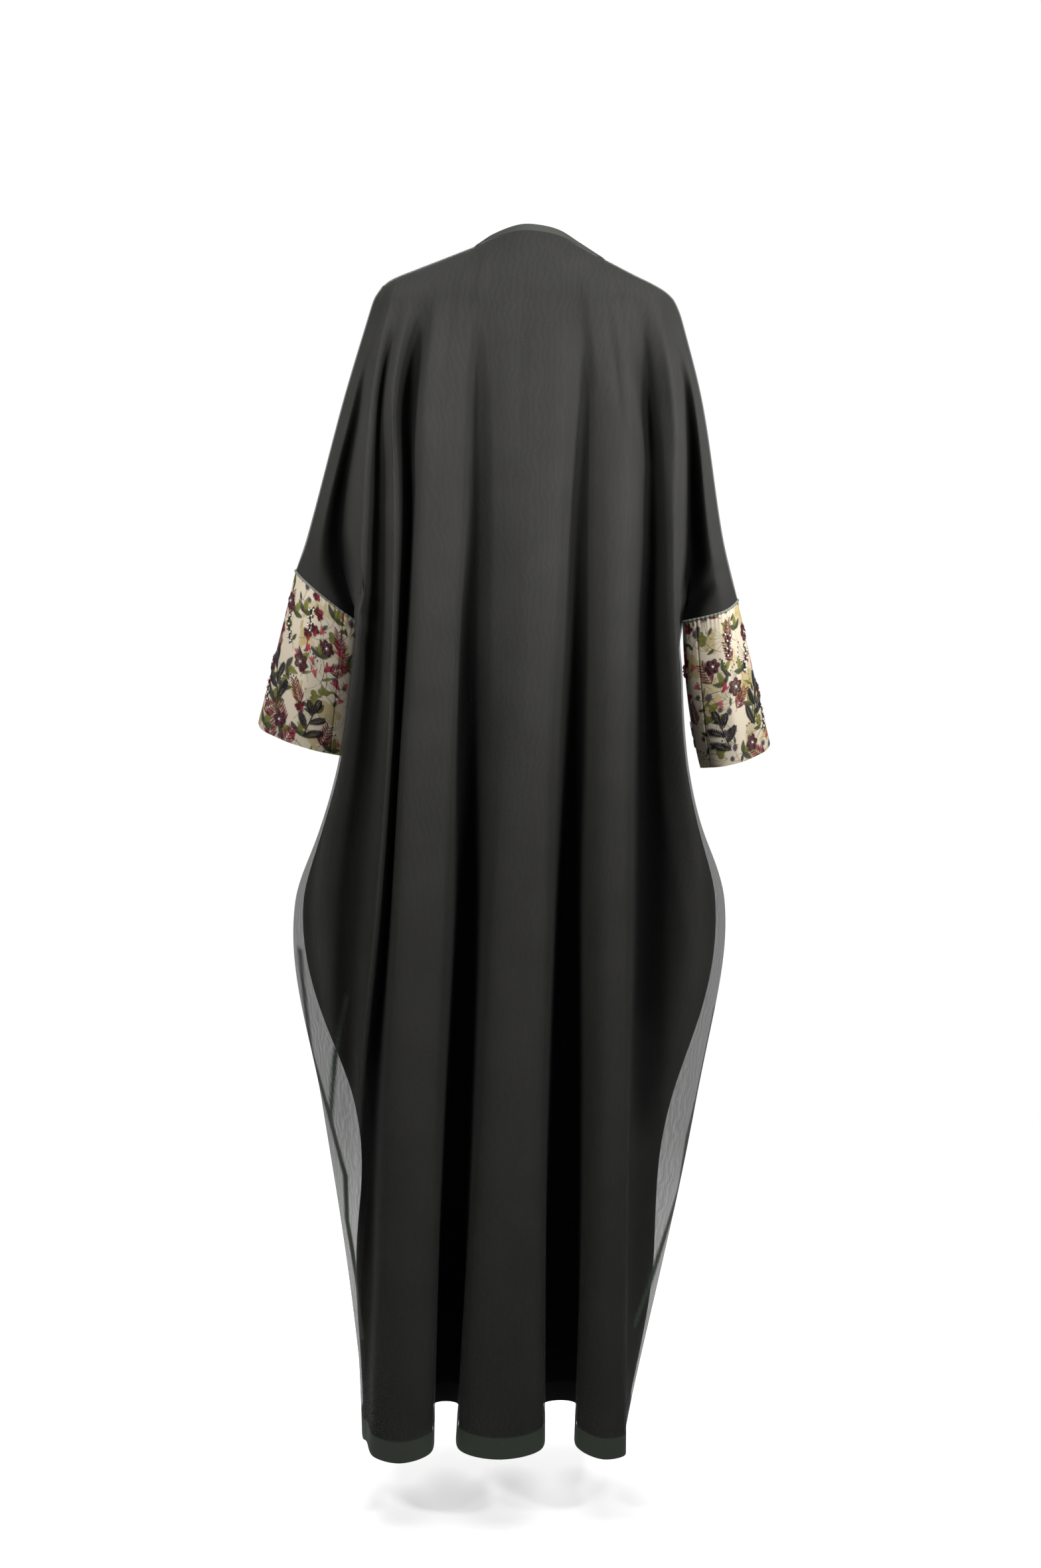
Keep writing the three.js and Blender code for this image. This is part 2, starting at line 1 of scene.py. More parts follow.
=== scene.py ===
import math
import bpy
import numpy as np
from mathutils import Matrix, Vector


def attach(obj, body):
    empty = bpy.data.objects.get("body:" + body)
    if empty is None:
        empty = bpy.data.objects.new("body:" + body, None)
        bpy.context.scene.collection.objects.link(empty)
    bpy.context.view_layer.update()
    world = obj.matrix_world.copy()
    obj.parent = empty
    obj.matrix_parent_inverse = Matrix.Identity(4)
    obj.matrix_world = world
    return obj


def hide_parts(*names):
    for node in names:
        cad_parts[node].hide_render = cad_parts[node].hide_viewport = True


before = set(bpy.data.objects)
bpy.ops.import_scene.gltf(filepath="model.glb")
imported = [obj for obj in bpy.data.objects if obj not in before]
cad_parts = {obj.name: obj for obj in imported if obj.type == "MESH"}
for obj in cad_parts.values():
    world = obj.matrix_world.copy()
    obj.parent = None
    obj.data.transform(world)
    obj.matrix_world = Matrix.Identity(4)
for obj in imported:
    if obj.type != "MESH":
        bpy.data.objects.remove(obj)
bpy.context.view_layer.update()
print("frame loaded")

# Embroidered abaya as it is worn. The tables are in millimetres, +Z up, and the front faces -Y;
# the meshes are in metres.
mm = 0.001

# The cut: heights of the sections, walls and seams, as in the solids but for liningGap
cut = {
    "yokeZ": -82, "armpitZ": -467, "widestZ": -815, "hemZ": -1474,
    "hemBand": 28,  # the overlay's hem, turned twice
    "liningRise": 16,  # the lining is this much shorter
    "liningGap": 2.4, "liningNear": 1.3,  # overlay to lining, below the armpit and above; the solids: 4.6
    "liningRows": 30,  # rows each way from the armpit in which one gap becomes the other
    "bandWidth": 9, "bandThickness": 2.2, "neckMiddleY": -15,
    "bandFall": 0.36, "bandFallChest": 0.5,
    "bandLap": 0.16,  # share of its width that the neck band laps over the cloth below
    "shoulderSlope": 0.4,
    "slackDepth": 30, "slackNext": 10, "slackMiddle": -1110, "slackSpread": 150,
}
xHeights = [cut["yokeZ"], -200, -360, cut["armpitZ"], -620, cut["widestZ"], -1070, cut["hemZ"]]
yHeights = [cut["yokeZ"], -200, cut["armpitZ"], cut["widestZ"], cut["hemZ"]]

# Rows and columns of the cloth's grids
grid = {"shoulder": 18, "sleeve": 64, "skirt": 136, "hem": 8, "bodyColumns": 14, "sleeveColumns": 24}

# Edge of the neck and the shoulder seams: x, y, z, and 1 where the neck band lies on it
backEdge = np.array([
    [194, 0, -54, 0], [70, 12, -6, 1], [54, 30, 2, 1], [21, 54, 10, 1], [0, 57, 9, 1], [-24, 50, 4, 1],
    [-48, 32, -8, 1], [-72, 12, -21, 1], [-168, 0, -70, 0],
], float)
frontEdgeLeft = np.array([
    [194, 0, -54, 0], [70, 12, -6, 1], [64, -20, -24, 1], [50, -54, -54, 1], [30, -80, -84, 1],
    [9, -94, -100, 1],
], float)
frontEdgeRight = np.array([
    [-168, 0, -70, 0], [-72, 12, -21, 1], [-66, -20, -36, 1], [-52, -54, -62, 1], [-30, -80, -87, 1],
    [-9, -94, -100, 1],
], float)

# One row a fold, from the wearer's left to the right: edge is its place along the upper edge, x and y
# its line at the heights above, rise how far its hem lies above the lowest
def fold(edge, x, y, **more):
    return {"edge": edge, "x": x, "y": y, **more}


outerLeft = fold(0, [205, 242, 288, 304], [0, -10, -60], seamZ=-403)
outerRight = fold(8, [-172, -203, -231, -251], [0, -10, -60], seamZ=-440)
sideLeft = fold(0.15, [187, 216, 245, 225, 207, 293, 261, 216], [62, 30, -20, 0, 0], side=True)
sideRight = fold(7.72, [-152, -179, -188, -181, -162, -224, -197, -113], [62, 30, -20, 0, 0], side=True)
backFolds = [
    outerLeft,
    fold(0.08, [196, 226, 268, 274], [35, 34, 0], seamZ=-430),
    sideLeft,
    fold(0.26, [178, 199, 210, 217, 238, 277, 247, 219], [78, 98, 104, 80, 32]),
    fold(0.36, [166, 189, 193, 194, 206, 228, 232, 220], [82, 76, 72, 62, 58]),
    fold(0.52, [153, 172, 171, 174, 180, 195, 219, 217], [85, 108, 118, 122, 86]),
    fold(0.66, [137, 154, 156, 162, 170, 183, 202, 211], [87, 72, 62, 62, 114], rise=6),
    fold(0.83, [120, 133, 143, 148, 160, 170, 184, 200], [90, 112, 122, 135, 150]),
    fold(1, [98, 109, 117, 122, 132, 140, 152, 165], [94, 116, 128, 142, 172]),
    fold(1.6, [81, 87, 93, 98, 105, 113, 123, 131], [96, 112, 120, 134, 160], rise=8),
    fold(2.1, [69, 75, 79, 86, 89, 88, 98, 117], [98, 90, 78, 60, 42], rise=30),
    fold(3, [35, 36, 36, 36, 42, 56, 70, 96], [100, 104, 112, 124, 156], rise=10),
    fold(4, [3, 3, 7, 10, 15, 24, 33, 47], [101, 112, 124, 138, 176], rise=6),
    fold(5, [-29, -29, -22, -18, -11, -9, -3, -2], [100, 112, 122, 134, 166], rise=14),
    fold(5.6, [-51, -53, -48, -48, -44, -36, -32, -27], [98, 92, 82, 60, 40], rise=30),
    fold(6.3, [-69, -67, -65, -64, -63, -62, -62, -46], [96, 104, 112, 118, 138], rise=8),
    fold(7, [-88, -87, -85, -84, -83, -83, -83, -76], [92, 112, 128, 138, 158]),
    fold(7.27, [-106, -106, -106, -105, -105, -105, -105, -104], [88, 112, 125, 136, 146]),
    fold(7.42, [-121, -132, -136, -130, -128, -128, -117, -103], [84, 76, 64, 52, 98], rise=4),
    fold(7.58, [-140, -160, -162, -164, -176, -200, -178, -110], [78, 98, 104, 80, 48]),
    sideRight,
    fold(7.86, [-162, -190, -210, -228], [35, 36, 4], seamZ=-455),
    outerRight,
]
frontFoldsLeft = [
    outerLeft,
    fold(0.05, [196, 222, 256, 250], [-36, -58, -82], seamZ=-432),
    {**sideLeft, "edge": 0.13, "x": [170, 186, 206, *sideLeft["x"][3:]], "y": [-50, -74, -20, 0, 0]},
    fold(0.26, [152, 160, 172, 182, 180, 238, 222, 196], [-76, -100, -96, -92, -72]),
    fold(0.43, [122, 126, 134, 142, 142, 180, 178, 160], [-84, -86, -80, -78, -70], rise=8),
    fold(1, [95, 98, 104, 108, 108, 128, 135, 125], [-92, -112, -118, -125, -130], yoke=-104),
    fold(2, [66, 66, 67, 68, 68, 80, 90, 88], [-97, -98, -95, -92, -86], rise=8, yoke=-118),
    fold(3.6, [36, 34, 36, 38, 38, 44, 52, 54], [-103, -118, -124, -130, -136], yoke=-132),
    fold(5, [9, 9, 9, 9, 10, 12, 16, 22], [-105, -112, -116, -118, -120], rise=4, yoke=-138),
]
frontFoldsRight = [
    {**outerRight, "edge": 0},
    fold(0.09, [-162, -190, -216, -224], [-36, -60, -94], seamZ=-455),
    {**sideRight, "edge": 0.28, "x": [-146, -160, -172, *sideRight["x"][3:]], "y": [-50, -74, -20, 0, 0]},
    fold(0.42, [-128, -136, -144, -148, -146, -190, -168, -116], [-76, -100, -96, -92, -66]),
    fold(0.63, [-108, -112, -116, -118, -118, -148, -140, -106], [-84, -88, -82, -80, -78], rise=8),
    fold(1, [-90, -92, -94, -96, -96, -108, -112, -94], [-92, -112, -118, -125, -128], yoke=-104),
    fold(2, [-66, -64, -64, -64, -64, -72, -78, -72], [-97, -98, -95, -92, -84], rise=8, yoke=-118),
    fold(3.6, [-36, -34, -34, -35, -35, -40, -46, -46], [-103, -118, -124, -130, -134], yoke=-132),
    fold(5, [-9, -9, -9, -9, -10, -12, -16, -22], [-105, -112, -116, -118, -120], rise=4, yoke=-138),
]


# A deep valley has a flat bottom: its line becomes two, apart by the widths at the heights above
def widened(folds, edge, widths):
    made = []
    for fold in folds:
        if fold["edge"] != edge:
            made.append(fold)
            continue
        for sign in (1, -1):
            x = [v + sign * w / 2 for v, w in zip(fold["x"], widths)]
            made.append({**fold, "edge": edge - sign * 0.08, "x": x})
    return made


backFolds = widened(backFolds, 2.1, [4, 8, 10, 12, 14, 18, 22, 28])
backFolds = widened(backFolds, 5.6, [4, 8, 10, 12, 16, 20, 28, 38])
cuffEnds = {  # lower ring of each cuff: outermost, back, inner and front
    "left": np.array([[357, -78, -603], [305, -30, -622], [246, -62, -638], [300, -112, -618]], float),
    "right": np.array([[-297, -80, -629], [-250, -24, -645], [-206, -62, -653], [-256, -122, -640]], float),
}

last = len(backFolds) - 1
panels = {  # beyond: the two folds of the next panel past each seam, on the sleeve and on the skirt
    "back": {
        "folds": backFolds, "edge": backEdge, "facing": 1, "sleeves": (True, True),
        "slack": [(2, 1, 4), (last - 2, -1, 2)],
        "sleeveBeyond": [("front_left", 1, 2), ("front_right", 1, 2)],
        "skirtBeyond": [("front_left", 3, 4), ("front_right", 3, 4)],
    },
    "front_left": {
        "folds": frontFoldsLeft, "edge": frontEdgeLeft, "facing": -1, "sleeves": (True, False),
        "slack": [(2, 1, 2)], "sleeveBeyond": [("back", 1, 2)], "skirtBeyond": [("back", 3, 4)],
    },
    "front_right": {
        "folds": frontFoldsRight, "edge": frontEdgeRight, "facing": 1, "sleeves": (True, False),
        "slack": [(2, 1, 2)], "sleeveBeyond": [("back", last - 1, last - 2)],
        "skirtBeyond": [("back", last - 3, last - 4)],
    },
}


# Smooth step from 0 at low to 1 at high
def ramp(value, low, high):
    t = np.clip((value - low) / (high - low), 0, 1)
    return t * t * (3 - 2 * t)


# Weights of a cubic piece at w from 0 to 1: of its start, its end, and the slopes there
def cubic(w):
    return 2 * w**3 - 3 * w**2 + 1, 3 * w**2 - 2 * w**3, w**3 - 2 * w**2 + w, w**3 - w**2


# Vectors divided by their lengths
def unit(vectors):
    return vectors / np.linalg.norm(vectors, axis=-1, keepdims=True)


# Smooth curve through values given at falling heights: cubic pieces, the slope at each height being
# that between its two neighbours
def curveAt(heights, values, z):
    h, v = np.array(heights, float), np.array(values, float)
    k = np.minimum((h[1:-1, None] > z).sum(0), len(v) - 2)
    i = np.arange(len(v))
    before, after = np.maximum(i - 1, 0), np.minimum(i + 1, len(v) - 1)
    slope = (v[after] - v[before]) / (h[after] - h[before])
    span = h[k + 1] - h[k]
    start, end, leaving, coming = cubic((z - h[k]) / span)
    return v[k] * start + v[k + 1] * end + span * (slope[k] * leaving + slope[k + 1] * coming)


# Centripetal spline through a list of points or of whole rows: cubic pieces whose tangents come from
# the neighbours, weighed by the root of their distances
def spline(path, at, closed=False):
    count = len(path)
    k = np.clip(np.floor(at).astype(int), 0, count - (1 if closed else 2))
    w = (np.asarray(at, float) - k).reshape((-1,) + (1,) * (path.ndim - 1))
    if closed:
        p0, p1, p2, p3 = (path[(k + s) % count] for s in (-1, 0, 1, 2))
    else:
        longer = np.concatenate([2 * path[:1] - path[1:2], path, 2 * path[-1:] - path[-2:-1]])
        p0, p1, p2, p3 = (longer[k + s] for s in (0, 1, 2, 3))
    d0, d1, d2 = (np.sqrt(np.linalg.norm(b - a, axis=-1, keepdims=True)) + 1e-6
                  for a, b in ((p0, p1), (p1, p2), (p2, p3)))
    t1 = ((p1 - p0) / d0 - (p2 - p0) / (d0 + d1) + (p2 - p1) / d1) * d1
    t2 = ((p2 - p1) / d1 - (p3 - p1) / (d1 + d2) + (p3 - p2) / d2) * d1
    start, end, leaving, coming = cubic(w)
    return p1 * start + p2 * end + t1 * leaving + t2 * coming


# Points of the neck's edge moved out by the band's width, towards the shoulder or the chest
def belowBand(edge):
    out = unit(np.column_stack([edge[:, 0], edge[:, 1] - cut["neckMiddleY"]]))
    down = cut["bandFall"] + cut["bandFallChest"] * np.abs(out[:, 1])
    across = np.sqrt(1 - down**2)
    move = np.column_stack([out * across[:, None], -down]) * cut["bandWidth"]
    return edge[:, :3] + move * edge[:, 3:]


# Upper edge of a panel at places counted in its points: straight along the shoulder, a spline round
# the neck. rim gives the band's upper line instead.
def edgeAt(edge, places, rim=False):
    neck = np.flatnonzero(edge[:, 3])
    line = edge[:, :3] if rim else belowBand(edge)
    k = np.clip(np.floor(places).astype(int), 0, len(edge) - 2)
    straight = line[k] + (line[k + 1] - line[k]) * (places - k)[:, None]
    curved = spline(line[neck], np.clip(places - neck[0], 0, len(neck) - 1))
    inside = (places >= neck[0]) & (places <= neck[-1])
    return np.where(inside[:, None], curved, straight)


sleeveRows = 1 + grid["shoulder"] + grid["sleeve"]
allRows = sleeveRows + grid["skirt"] + grid["hem"]


# Line of one fold: a rounded shoulder, where y follows the sine and z the cosine of a quarter turn,
# then the table's curve to the cuff or the hem
def foldLine(fold, edge, hemRise):
    top = edgeAt(edge, np.array([float(fold["edge"])]))[0]
    yoke, seam = fold.get("yoke", cut["yokeZ"]), fold.get("seamZ", cut["armpitZ"])
    xs, ys = [yoke, -200, -360, seam, *xHeights[4:]], [yoke, -200, seam, *yHeights[3:]]
    xs, ys = xs[:len(fold["x"])], ys[:len(fold["y"])]
    tableAt = lambda z: np.column_stack([curveAt(xs, fold["x"], z), curveAt(ys, fold["y"], z), z])
    start = tableAt(np.array([float(yoke)]))[0]
    s = np.linspace(0, 1, grid["shoulder"] + 1)
    turn = s * math.pi / 2
    share = np.column_stack([
        s, np.sin(turn), cut["shoulderSlope"] * s + (1 - cut["shoulderSlope"]) * (1 - np.cos(turn)),
    ])
    parts = [top + (start - top) * share]
    parts.append(tableAt(yoke + (seam - yoke) * np.linspace(0, 1, grid["sleeve"] + 1)[1:]))
    if "seamZ" in fold:
        parts.append(np.full((allRows - sleeveRows, 3), np.nan))
        return np.concatenate(parts)
    end = cut["hemZ"] + fold.get("rise", 0) + hemRise
    bandTop = end + cut["hemBand"]
    z = np.concatenate([
        cut["armpitZ"] + (bandTop - cut["armpitZ"]) * np.linspace(0, 1, grid["skirt"] + 1)[1:],
        bandTop + (end - bandTop) * np.linspace(0, 1, grid["hem"] + 1)[1:],
    ])
    if fold.get("side"):  # a side seam starts afresh at the armpit, the same on both panels
        fresh = (curveAt(xs[3:], fold["x"][3:], z), curveAt(ys[2:], fold["y"][2:], z), z)
        parts.append(np.column_stack(fresh))
    else:
        parts.append(tableAt(z))
    return np.concatenate(parts)


# The lining's folds next to a side seam lie straight between that seam, drawn in, and a further fold
def slacken(lines, side, step, count):
    rows = slice(sleeveRows, allRows)
    seam, far = lines[side][rows], lines[side + step * count][rows]
    share = np.exp(-(((seam[:, 2] - cut["slackMiddle"]) / cut["slackSpread"]) ** 2))[:, None]
    seam[:, :1] -= np.sign(seam[:, :1]) * cut["slackDepth"] * share
    far[:, 1:2] -= np.sign(far[:, 1:2]) * cut["slackNext"] * share
    for k in range(1, count):
        line = lines[side + step * k][rows]
        line += (seam + (far - seam) * (k / count) - line) * share


# Gaussian average along one axis of a grid, the ends held
def smooth(values, width, axis):
    reach = max(1, int(3 * width))
    kernel = np.exp(-0.5 * (np.arange(-reach, reach + 1) / width) ** 2)
    kernel /= kernel.sum()
    pad = [(0, 0)] * values.ndim
    pad[axis] = (reach, reach)
    longer = np.pad(values, pad, mode="edge")
    total = np.zeros_like(values)
    for i, weight in enumerate(kernel):
        total += weight * np.take(longer, np.arange(i, i + values.shape[axis]), axis=axis)
    return total


# Unit normals of a grid of points: the cross product of its steps down and across
def normalsOf(points, facing):
    down, across = np.gradient(points, axis=0), np.gradient(points, axis=1)
    normal = np.cross(down, across) * facing
    return normal / np.maximum(np.linalg.norm(normal, axis=-1, keepdims=True), 1e-9)


# Whole surface of a panel on a grid of rows by columns: across every row a spline through its folds and
# two more of the next panel past each seam. Sleeve columns end at the cuff's seam.
def panelGrid(name, allLines):
    panel, lines = panels[name], allLines[name]
    count = len(lines)
    first, final = (2 if panel["sleeves"][0] else 0), count - 1 - (2 if panel["sleeves"][1] else 0)
    spans = [
        k + np.arange(n) / n for k in range(count - 1)
        for n in [grid["sleeveColumns"] if k < first or k >= final else grid["bodyColumns"]]
    ]
    columns = np.append(np.concatenate(spans), count - 1.0)
    stack = np.array(lines)
    sleeve = [np.array([allLines[n][i] for i in more]) for n, *more in panel["sleeveBeyond"]]
    skirt = [np.array([allLines[n][i] for i in more]) for n, *more in panel["skirtBeyond"]]

    upper, lower = slice(0, sleeveRows), slice(sleeveRows, allRows)
    points = np.full((len(columns), allRows, 3), np.nan)
    path = [sleeve[0][::-1], stack] + ([sleeve[1]] if len(sleeve) > 1 else [])
    points[:, upper] = spline(np.concatenate(path)[:, upper], columns + 2)

    # Below the armpit the fold past the seam changes from the sleeve's to the next panel's
    body = (columns >= first) & (columns <= final)
    past = []
    for atEnd, more in enumerate(skirt):
        side = stack[final if atEnd else first]
        arm = stack[final + 1 if atEnd else first - 1]
        away = ramp(side[lower, 2], cut["armpitZ"] - 90, cut["armpitZ"])[:, None]
        hanging = arm[sleeveRows - 1] + side[lower] - side[sleeveRows - 1]
        near = more[0][lower] + (hanging - more[0][lower]) * away
        past.append(np.array([near, more[1][lower] + near - more[0][lower]]))
    path = [past[0][::-1], stack[first:final + 1, lower]] + ([past[1]] if len(past) > 1 else [])
    points[np.flatnonzero(body)[:, None], np.arange(sleeveRows, allRows)] = spline(
        np.concatenate(path), columns[body] - first + 2)

    # The sleeve closes to the ring of its cuff seam
    for atEnd, more in enumerate(sleeve):
        turn = count - 1 - columns if atEnd else columns
        ends = np.flatnonzero(turn < 2)
        own = stack[::-1] if atEnd else stack
        ring = spline(np.array([own[0], own[1], own[2], more[0]])[:, upper], turn[ends], closed=True)
        left = (grid["sleeve"] - np.arange(sleeveRows - 1 - grid["shoulder"], -1, -1)).astype(float)
        share = np.zeros(sleeveRows)
        share[grid["shoulder"]:] = ramp(left, grid["sleeve"] * 0.84, grid["sleeve"])
        points[ends[:, None], np.arange(sleeveRows)] += (ring - points[ends][:, upper]) * share[None, :, None]

    # The uppermost row follows the seam or the neck band, and draws the rows under it along
    edgeList = np.array([float(f["edge"]) for f in panel["folds"]])
    places = np.interp(columns, np.arange(count), edgeList)
    miss = edgeAt(panel["edge"], places) - points[:, 0]
    fade = (1 - np.linspace(0, 1, grid["shoulder"] + 1)) ** 2
    points[:, :grid["shoulder"] + 1] += miss[:, None] * fade[None, :, None]
    return {"points": points.transpose(1, 0, 2), "columns": columns, "places": places,
            "first": first, "final": final, "facing": panel["facing"]}


# The overlay's side seams stand further out than the lining's: by how much, at what height, how far up
# and down
standOut = {"left": (12, -960, 260), "right": (9, -830, 130)}


# All the panels of one layer
def layerGrids(lining):
    lines = {}
    for name, panel in panels.items():
        rise = cut["liningRise"] if lining else 0
        lines[name] = [foldLine(fold, panel["edge"], rise) for fold in panel["folds"]]
        if lining:
            for side, step, steps in panel["slack"]:
                slacken(lines[name], side, step, steps)
        else:
            for side, _, _ in panel["slack"]:
                seam = lines[name][side][sleeveRows:]
                sign = 1 if seam[0, 0] > 0 else -1
                out, middle, spread = standOut["left" if sign > 0 else "right"]
                seam[:, 0] += sign * out * np.exp(-(((seam[:, 2] - middle) / spread) ** 2))
    return {name: panelGrid(name, lines) for name in panels}


# Points moved along the normals of their smoothed grid. Under the sleeve, where the grid is empty, the
# body's edge stands in, so that the averages reach past it.
def moved(panel, distance):
    points = panel["points"]
    body = np.flatnonzero((panel["columns"] >= panel["first"]) & (panel["columns"] <= panel["final"]))
    whole, skirt = points.copy(), slice(sleeveRows, allRows)
    whole[skirt, :body[0]] = whole[skirt, body[0]:body[0] + 1]
    whole[skirt, body[-1] + 1:] = whole[skirt, body[-1]:body[-1] + 1]
    normals = normalsOf(smooth(smooth(whole, 2.0, 0), 2.5, 1), panel["facing"])
    return points + normals * distance, normals


# Mesh of a grid of points with holes marked by nan; uv in metres across and down the cloth
def gridMesh(name, points, facing, uv=None, closedAcross=False):
    rows, columns = points.shape[:2]
    there = ~np.isnan(points[..., 0])
    index = np.full((rows, columns), -1)
    index[there] = np.arange(there.sum())
    right = np.roll(index, -1, axis=1) if closedAcross else index[:, 1:]
    left = index if closedAcross else index[:, :-1]
    quads = np.stack([left[:-1], left[1:], right[1:], right[:-1]], axis=-1).reshape(-1, 4)
    quads = quads[(quads >= 0).all(1)]
    if facing < 0:
        quads = quads[:, ::-1]
    mesh = bpy.data.meshes.new(name)
    fillMesh(mesh, points[there] * mm, quads)
    if uv is not None:
        layer = mesh.uv_layers.new(name="cloth")
        layer.data.foreach_set("uv", uv[there][quads.ravel()].astype(np.float32).ravel())
    return addObject(name, mesh)


# Vertices and equal-sided faces into a mesh, shaded smooth
def fillMesh(mesh, vertices, faces):
    sides = faces.shape[1]
    mesh.vertices.add(len(vertices))
    mesh.vertices.foreach_set("co", vertices.astype(np.float32).ravel())
    mesh.loops.add(faces.size)
    mesh.loops.foreach_set("vertex_index", faces.astype(np.int32).ravel())
    mesh.polygons.add(len(faces))
    mesh.polygons.foreach_set("loop_start", np.arange(0, faces.size, sides, dtype=np.int32))
    mesh.polygons.foreach_set("use_smooth", np.ones(len(faces), dtype=bool))
    mesh.update(calc_edges=True)
    mesh.validate()


# Object of a mesh, in the scene's collection
def addObject(name, mesh):
    piece = bpy.data.objects.new(name, mesh)
    bpy.context.collection.objects.link(piece)
    return piece


# Lengths across and down a grid, from its middle column and its upper row, in metres
def clothUv(points):
    filled = np.where(np.isnan(points), 0, points)
    across = np.linalg.norm(np.diff(filled, axis=1), axis=-1)
    down = np.linalg.norm(np.diff(filled, axis=0), axis=-1)
    u = np.concatenate([np.zeros((len(points), 1)), np.cumsum(across, axis=1)], axis=1)
    u -= u[:, u.shape[1] // 2:u.shape[1] // 2 + 1]
    v = np.concatenate([np.zeros((1, points.shape[1])), np.cumsum(down, axis=0)], axis=0)
    return np.stack([u, v], axis=-1) * mm


# sRGB hex colour as linear values
def hexColour(text):
    c = np.array([int(text[i:i + 2], 16) for i in (1, 3, 5)]) / 255
    return (*np.where(c <= 0.04045, c / 12.92, ((c + 0.055) / 1.055) ** 2.4), 1.0)


# New material with its shader and output; the rest is added by node()
def newMaterial(name):
    material = bpy.data.materials.new(name)
    material.use_nodes = True
    return material, material.node_tree, material.node_tree.nodes["Principled BSDF"]


# Adds a node with its settings; inputs holds values or the sockets to link
def node(tree, kind, inputs=None, **settings):
    new = tree.nodes.new(kind)
    for key, value in settings.items():
        setattr(new, key, value)
    for key, value in (inputs or {}).items():
        if isinstance(value, bpy.types.NodeSocket):
            tree.links.new(value, new.inputs[key])
        else:
            new.inputs[key].default_value = value
    return new


# Mix of two colours, each a hex text or a socket, by a factor
def mixedColour(tree, factor, a, b):
    a, b = (hexColour(c) if isinstance(c, str) else c for c in (a, b))
    return node(tree, "ShaderNodeMix", {"Factor": factor, "A": a, "B": b}, data_type="RGBA").outputs["Result"]


# Grain of the cloth: noise at its threads' spacing, in the metres of its uv
def threads(tree, vector, scale, detail=1.0):
    values = {"Vector": vector, "Scale": scale, "Detail": detail}
    return node(tree, "ShaderNodeTexNoise", values).outputs["Fac"]


# The cloth's own coordinates, in metres across and down it
def uvOf(tree):
    return node(tree, "ShaderNodeUVMap", uv_map="cloth").outputs["UV"]


# Number or colour that the mesh holds at its vertices
def attribute(tree, name, output="Fac"):
    return node(tree, "ShaderNodeAttribute", attribute_name=name).outputs[output]


# Last part of every cloth: its colour, the relief of its threads, in metres, and its roughness and gloss
def surface(tree, shader, colour, grain, look):
    tree.links.new(colour, shader.inputs["Base Color"])
    values = {"Height": grain, "Strength": look["bump"], "Distance": look["relief"]}
    bump = node(tree, "ShaderNodeBump", values)
    tree.links.new(bump.outputs["Normal"], shader.inputs["Normal"])
    shader.inputs["Roughness"].default_value = look["roughness"]
    shader.inputs["Specular IOR Level"].default_value = look["gloss"]


# Colour darkened by the depth of the fold, down to a twenty-fifth: painted shade in the folds
def paintedFoldShade(tree, colour):
    left = node(tree, "ShaderNodeMapRange", {"Value": attribute(tree, "fold"), "To Min": 1.0, "To Max": 0.04})
    dark = node(tree, "ShaderNodeVectorMath", {0: colour, 1: left.outputs["Result"]}, operation="MULTIPLY")
    return dark.outputs["Vector"]


# Organza: a sheer plain weave of fine twisted filament, so light passes and what is under it shows.
# Its hem is turned twice and is denser and greener. The threads are 0.15 mm; drawn at 1.2 mm they show.
organza = {
    "thread": "#2f2f2d", "threadDark": "#252523", "sheer": 0.43, "uneven": 0.11, "hem": "#30362f",
    "hemSheer": 0.0, "threadsPerMetre": 830, "roughness": 0.85, "gloss": 0.12, "bump": 0.35, "relief": 0.0004,
    "sheen": 0.02, "sheenRoughness": 0.5,
}


def organzaMaterial():
    material, tree, shader = newMaterial("organza")
    uv = uvOf(tree)
    grain, cloud = threads(tree, uv, organza["threadsPerMetre"]), threads(tree, uv, 14.0, 3.0)
    both = node(tree, "ShaderNodeMix", {"Factor": 0.65, "A": cloud, "B": grain})
    spread = node(tree, "ShaderNodeMapRange", {
        "Value": both.outputs["Result"], "From Min": 0.36, "From Max": 0.64})
    colour = mixedColour(tree, spread.outputs["Result"], organza["threadDark"], organza["thread"])
    band = attribute(tree, "hem")
    # The organza's colour gets painted shade in the folds
    colour = paintedFoldShade(tree, mixedColour(tree, band, colour, organza["hem"]))
    moire = node(tree, "ShaderNodeTexWave", {  # where two layers of the weave cross, soft bands of 8 mm
        "Vector": uv, "Scale": 40.0, "Distortion": 9.0, "Detail": 1.0})
    uneven = node(tree, "ShaderNodeMix", {"Factor": 0.4, "A": grain, "B": moire.outputs["Fac"]})
    solid = 1 - organza["sheer"]
    thin = node(tree, "ShaderNodeMapRange", {
        "Value": uneven.outputs["Result"], "To Min": solid - organza["uneven"],
        "To Max": solid + organza["uneven"]})
    alpha = node(tree, "ShaderNodeMix", {
        "Factor": band, "A": thin.outputs["Result"], "B": 1 - organza["hemSheer"]})
    tree.links.new(alpha.outputs["Result"], shader.inputs["Alpha"])
    surface(tree, shader, colour, grain, organza)
    shader.inputs["Sheen Weight"].default_value = organza["sheen"]
    shader.inputs["Sheen Roughness"].default_value = organza["sheenRoughness"]
    return material


# Crepe: matt, of hard-twisted yarn, nearly black, with a pebbled face that reads as a fine twill.
# The yarn is 0.3 mm; drawn at 1.4 mm it shows.
crepe = {
    "yarn": "#211f20", "yarnDark": "#171516", "yarnsPerMetre": 700, "roughness": 0.9, "gloss": 0.1,
    "bump": 0.5, "relief": 0.0005,
}


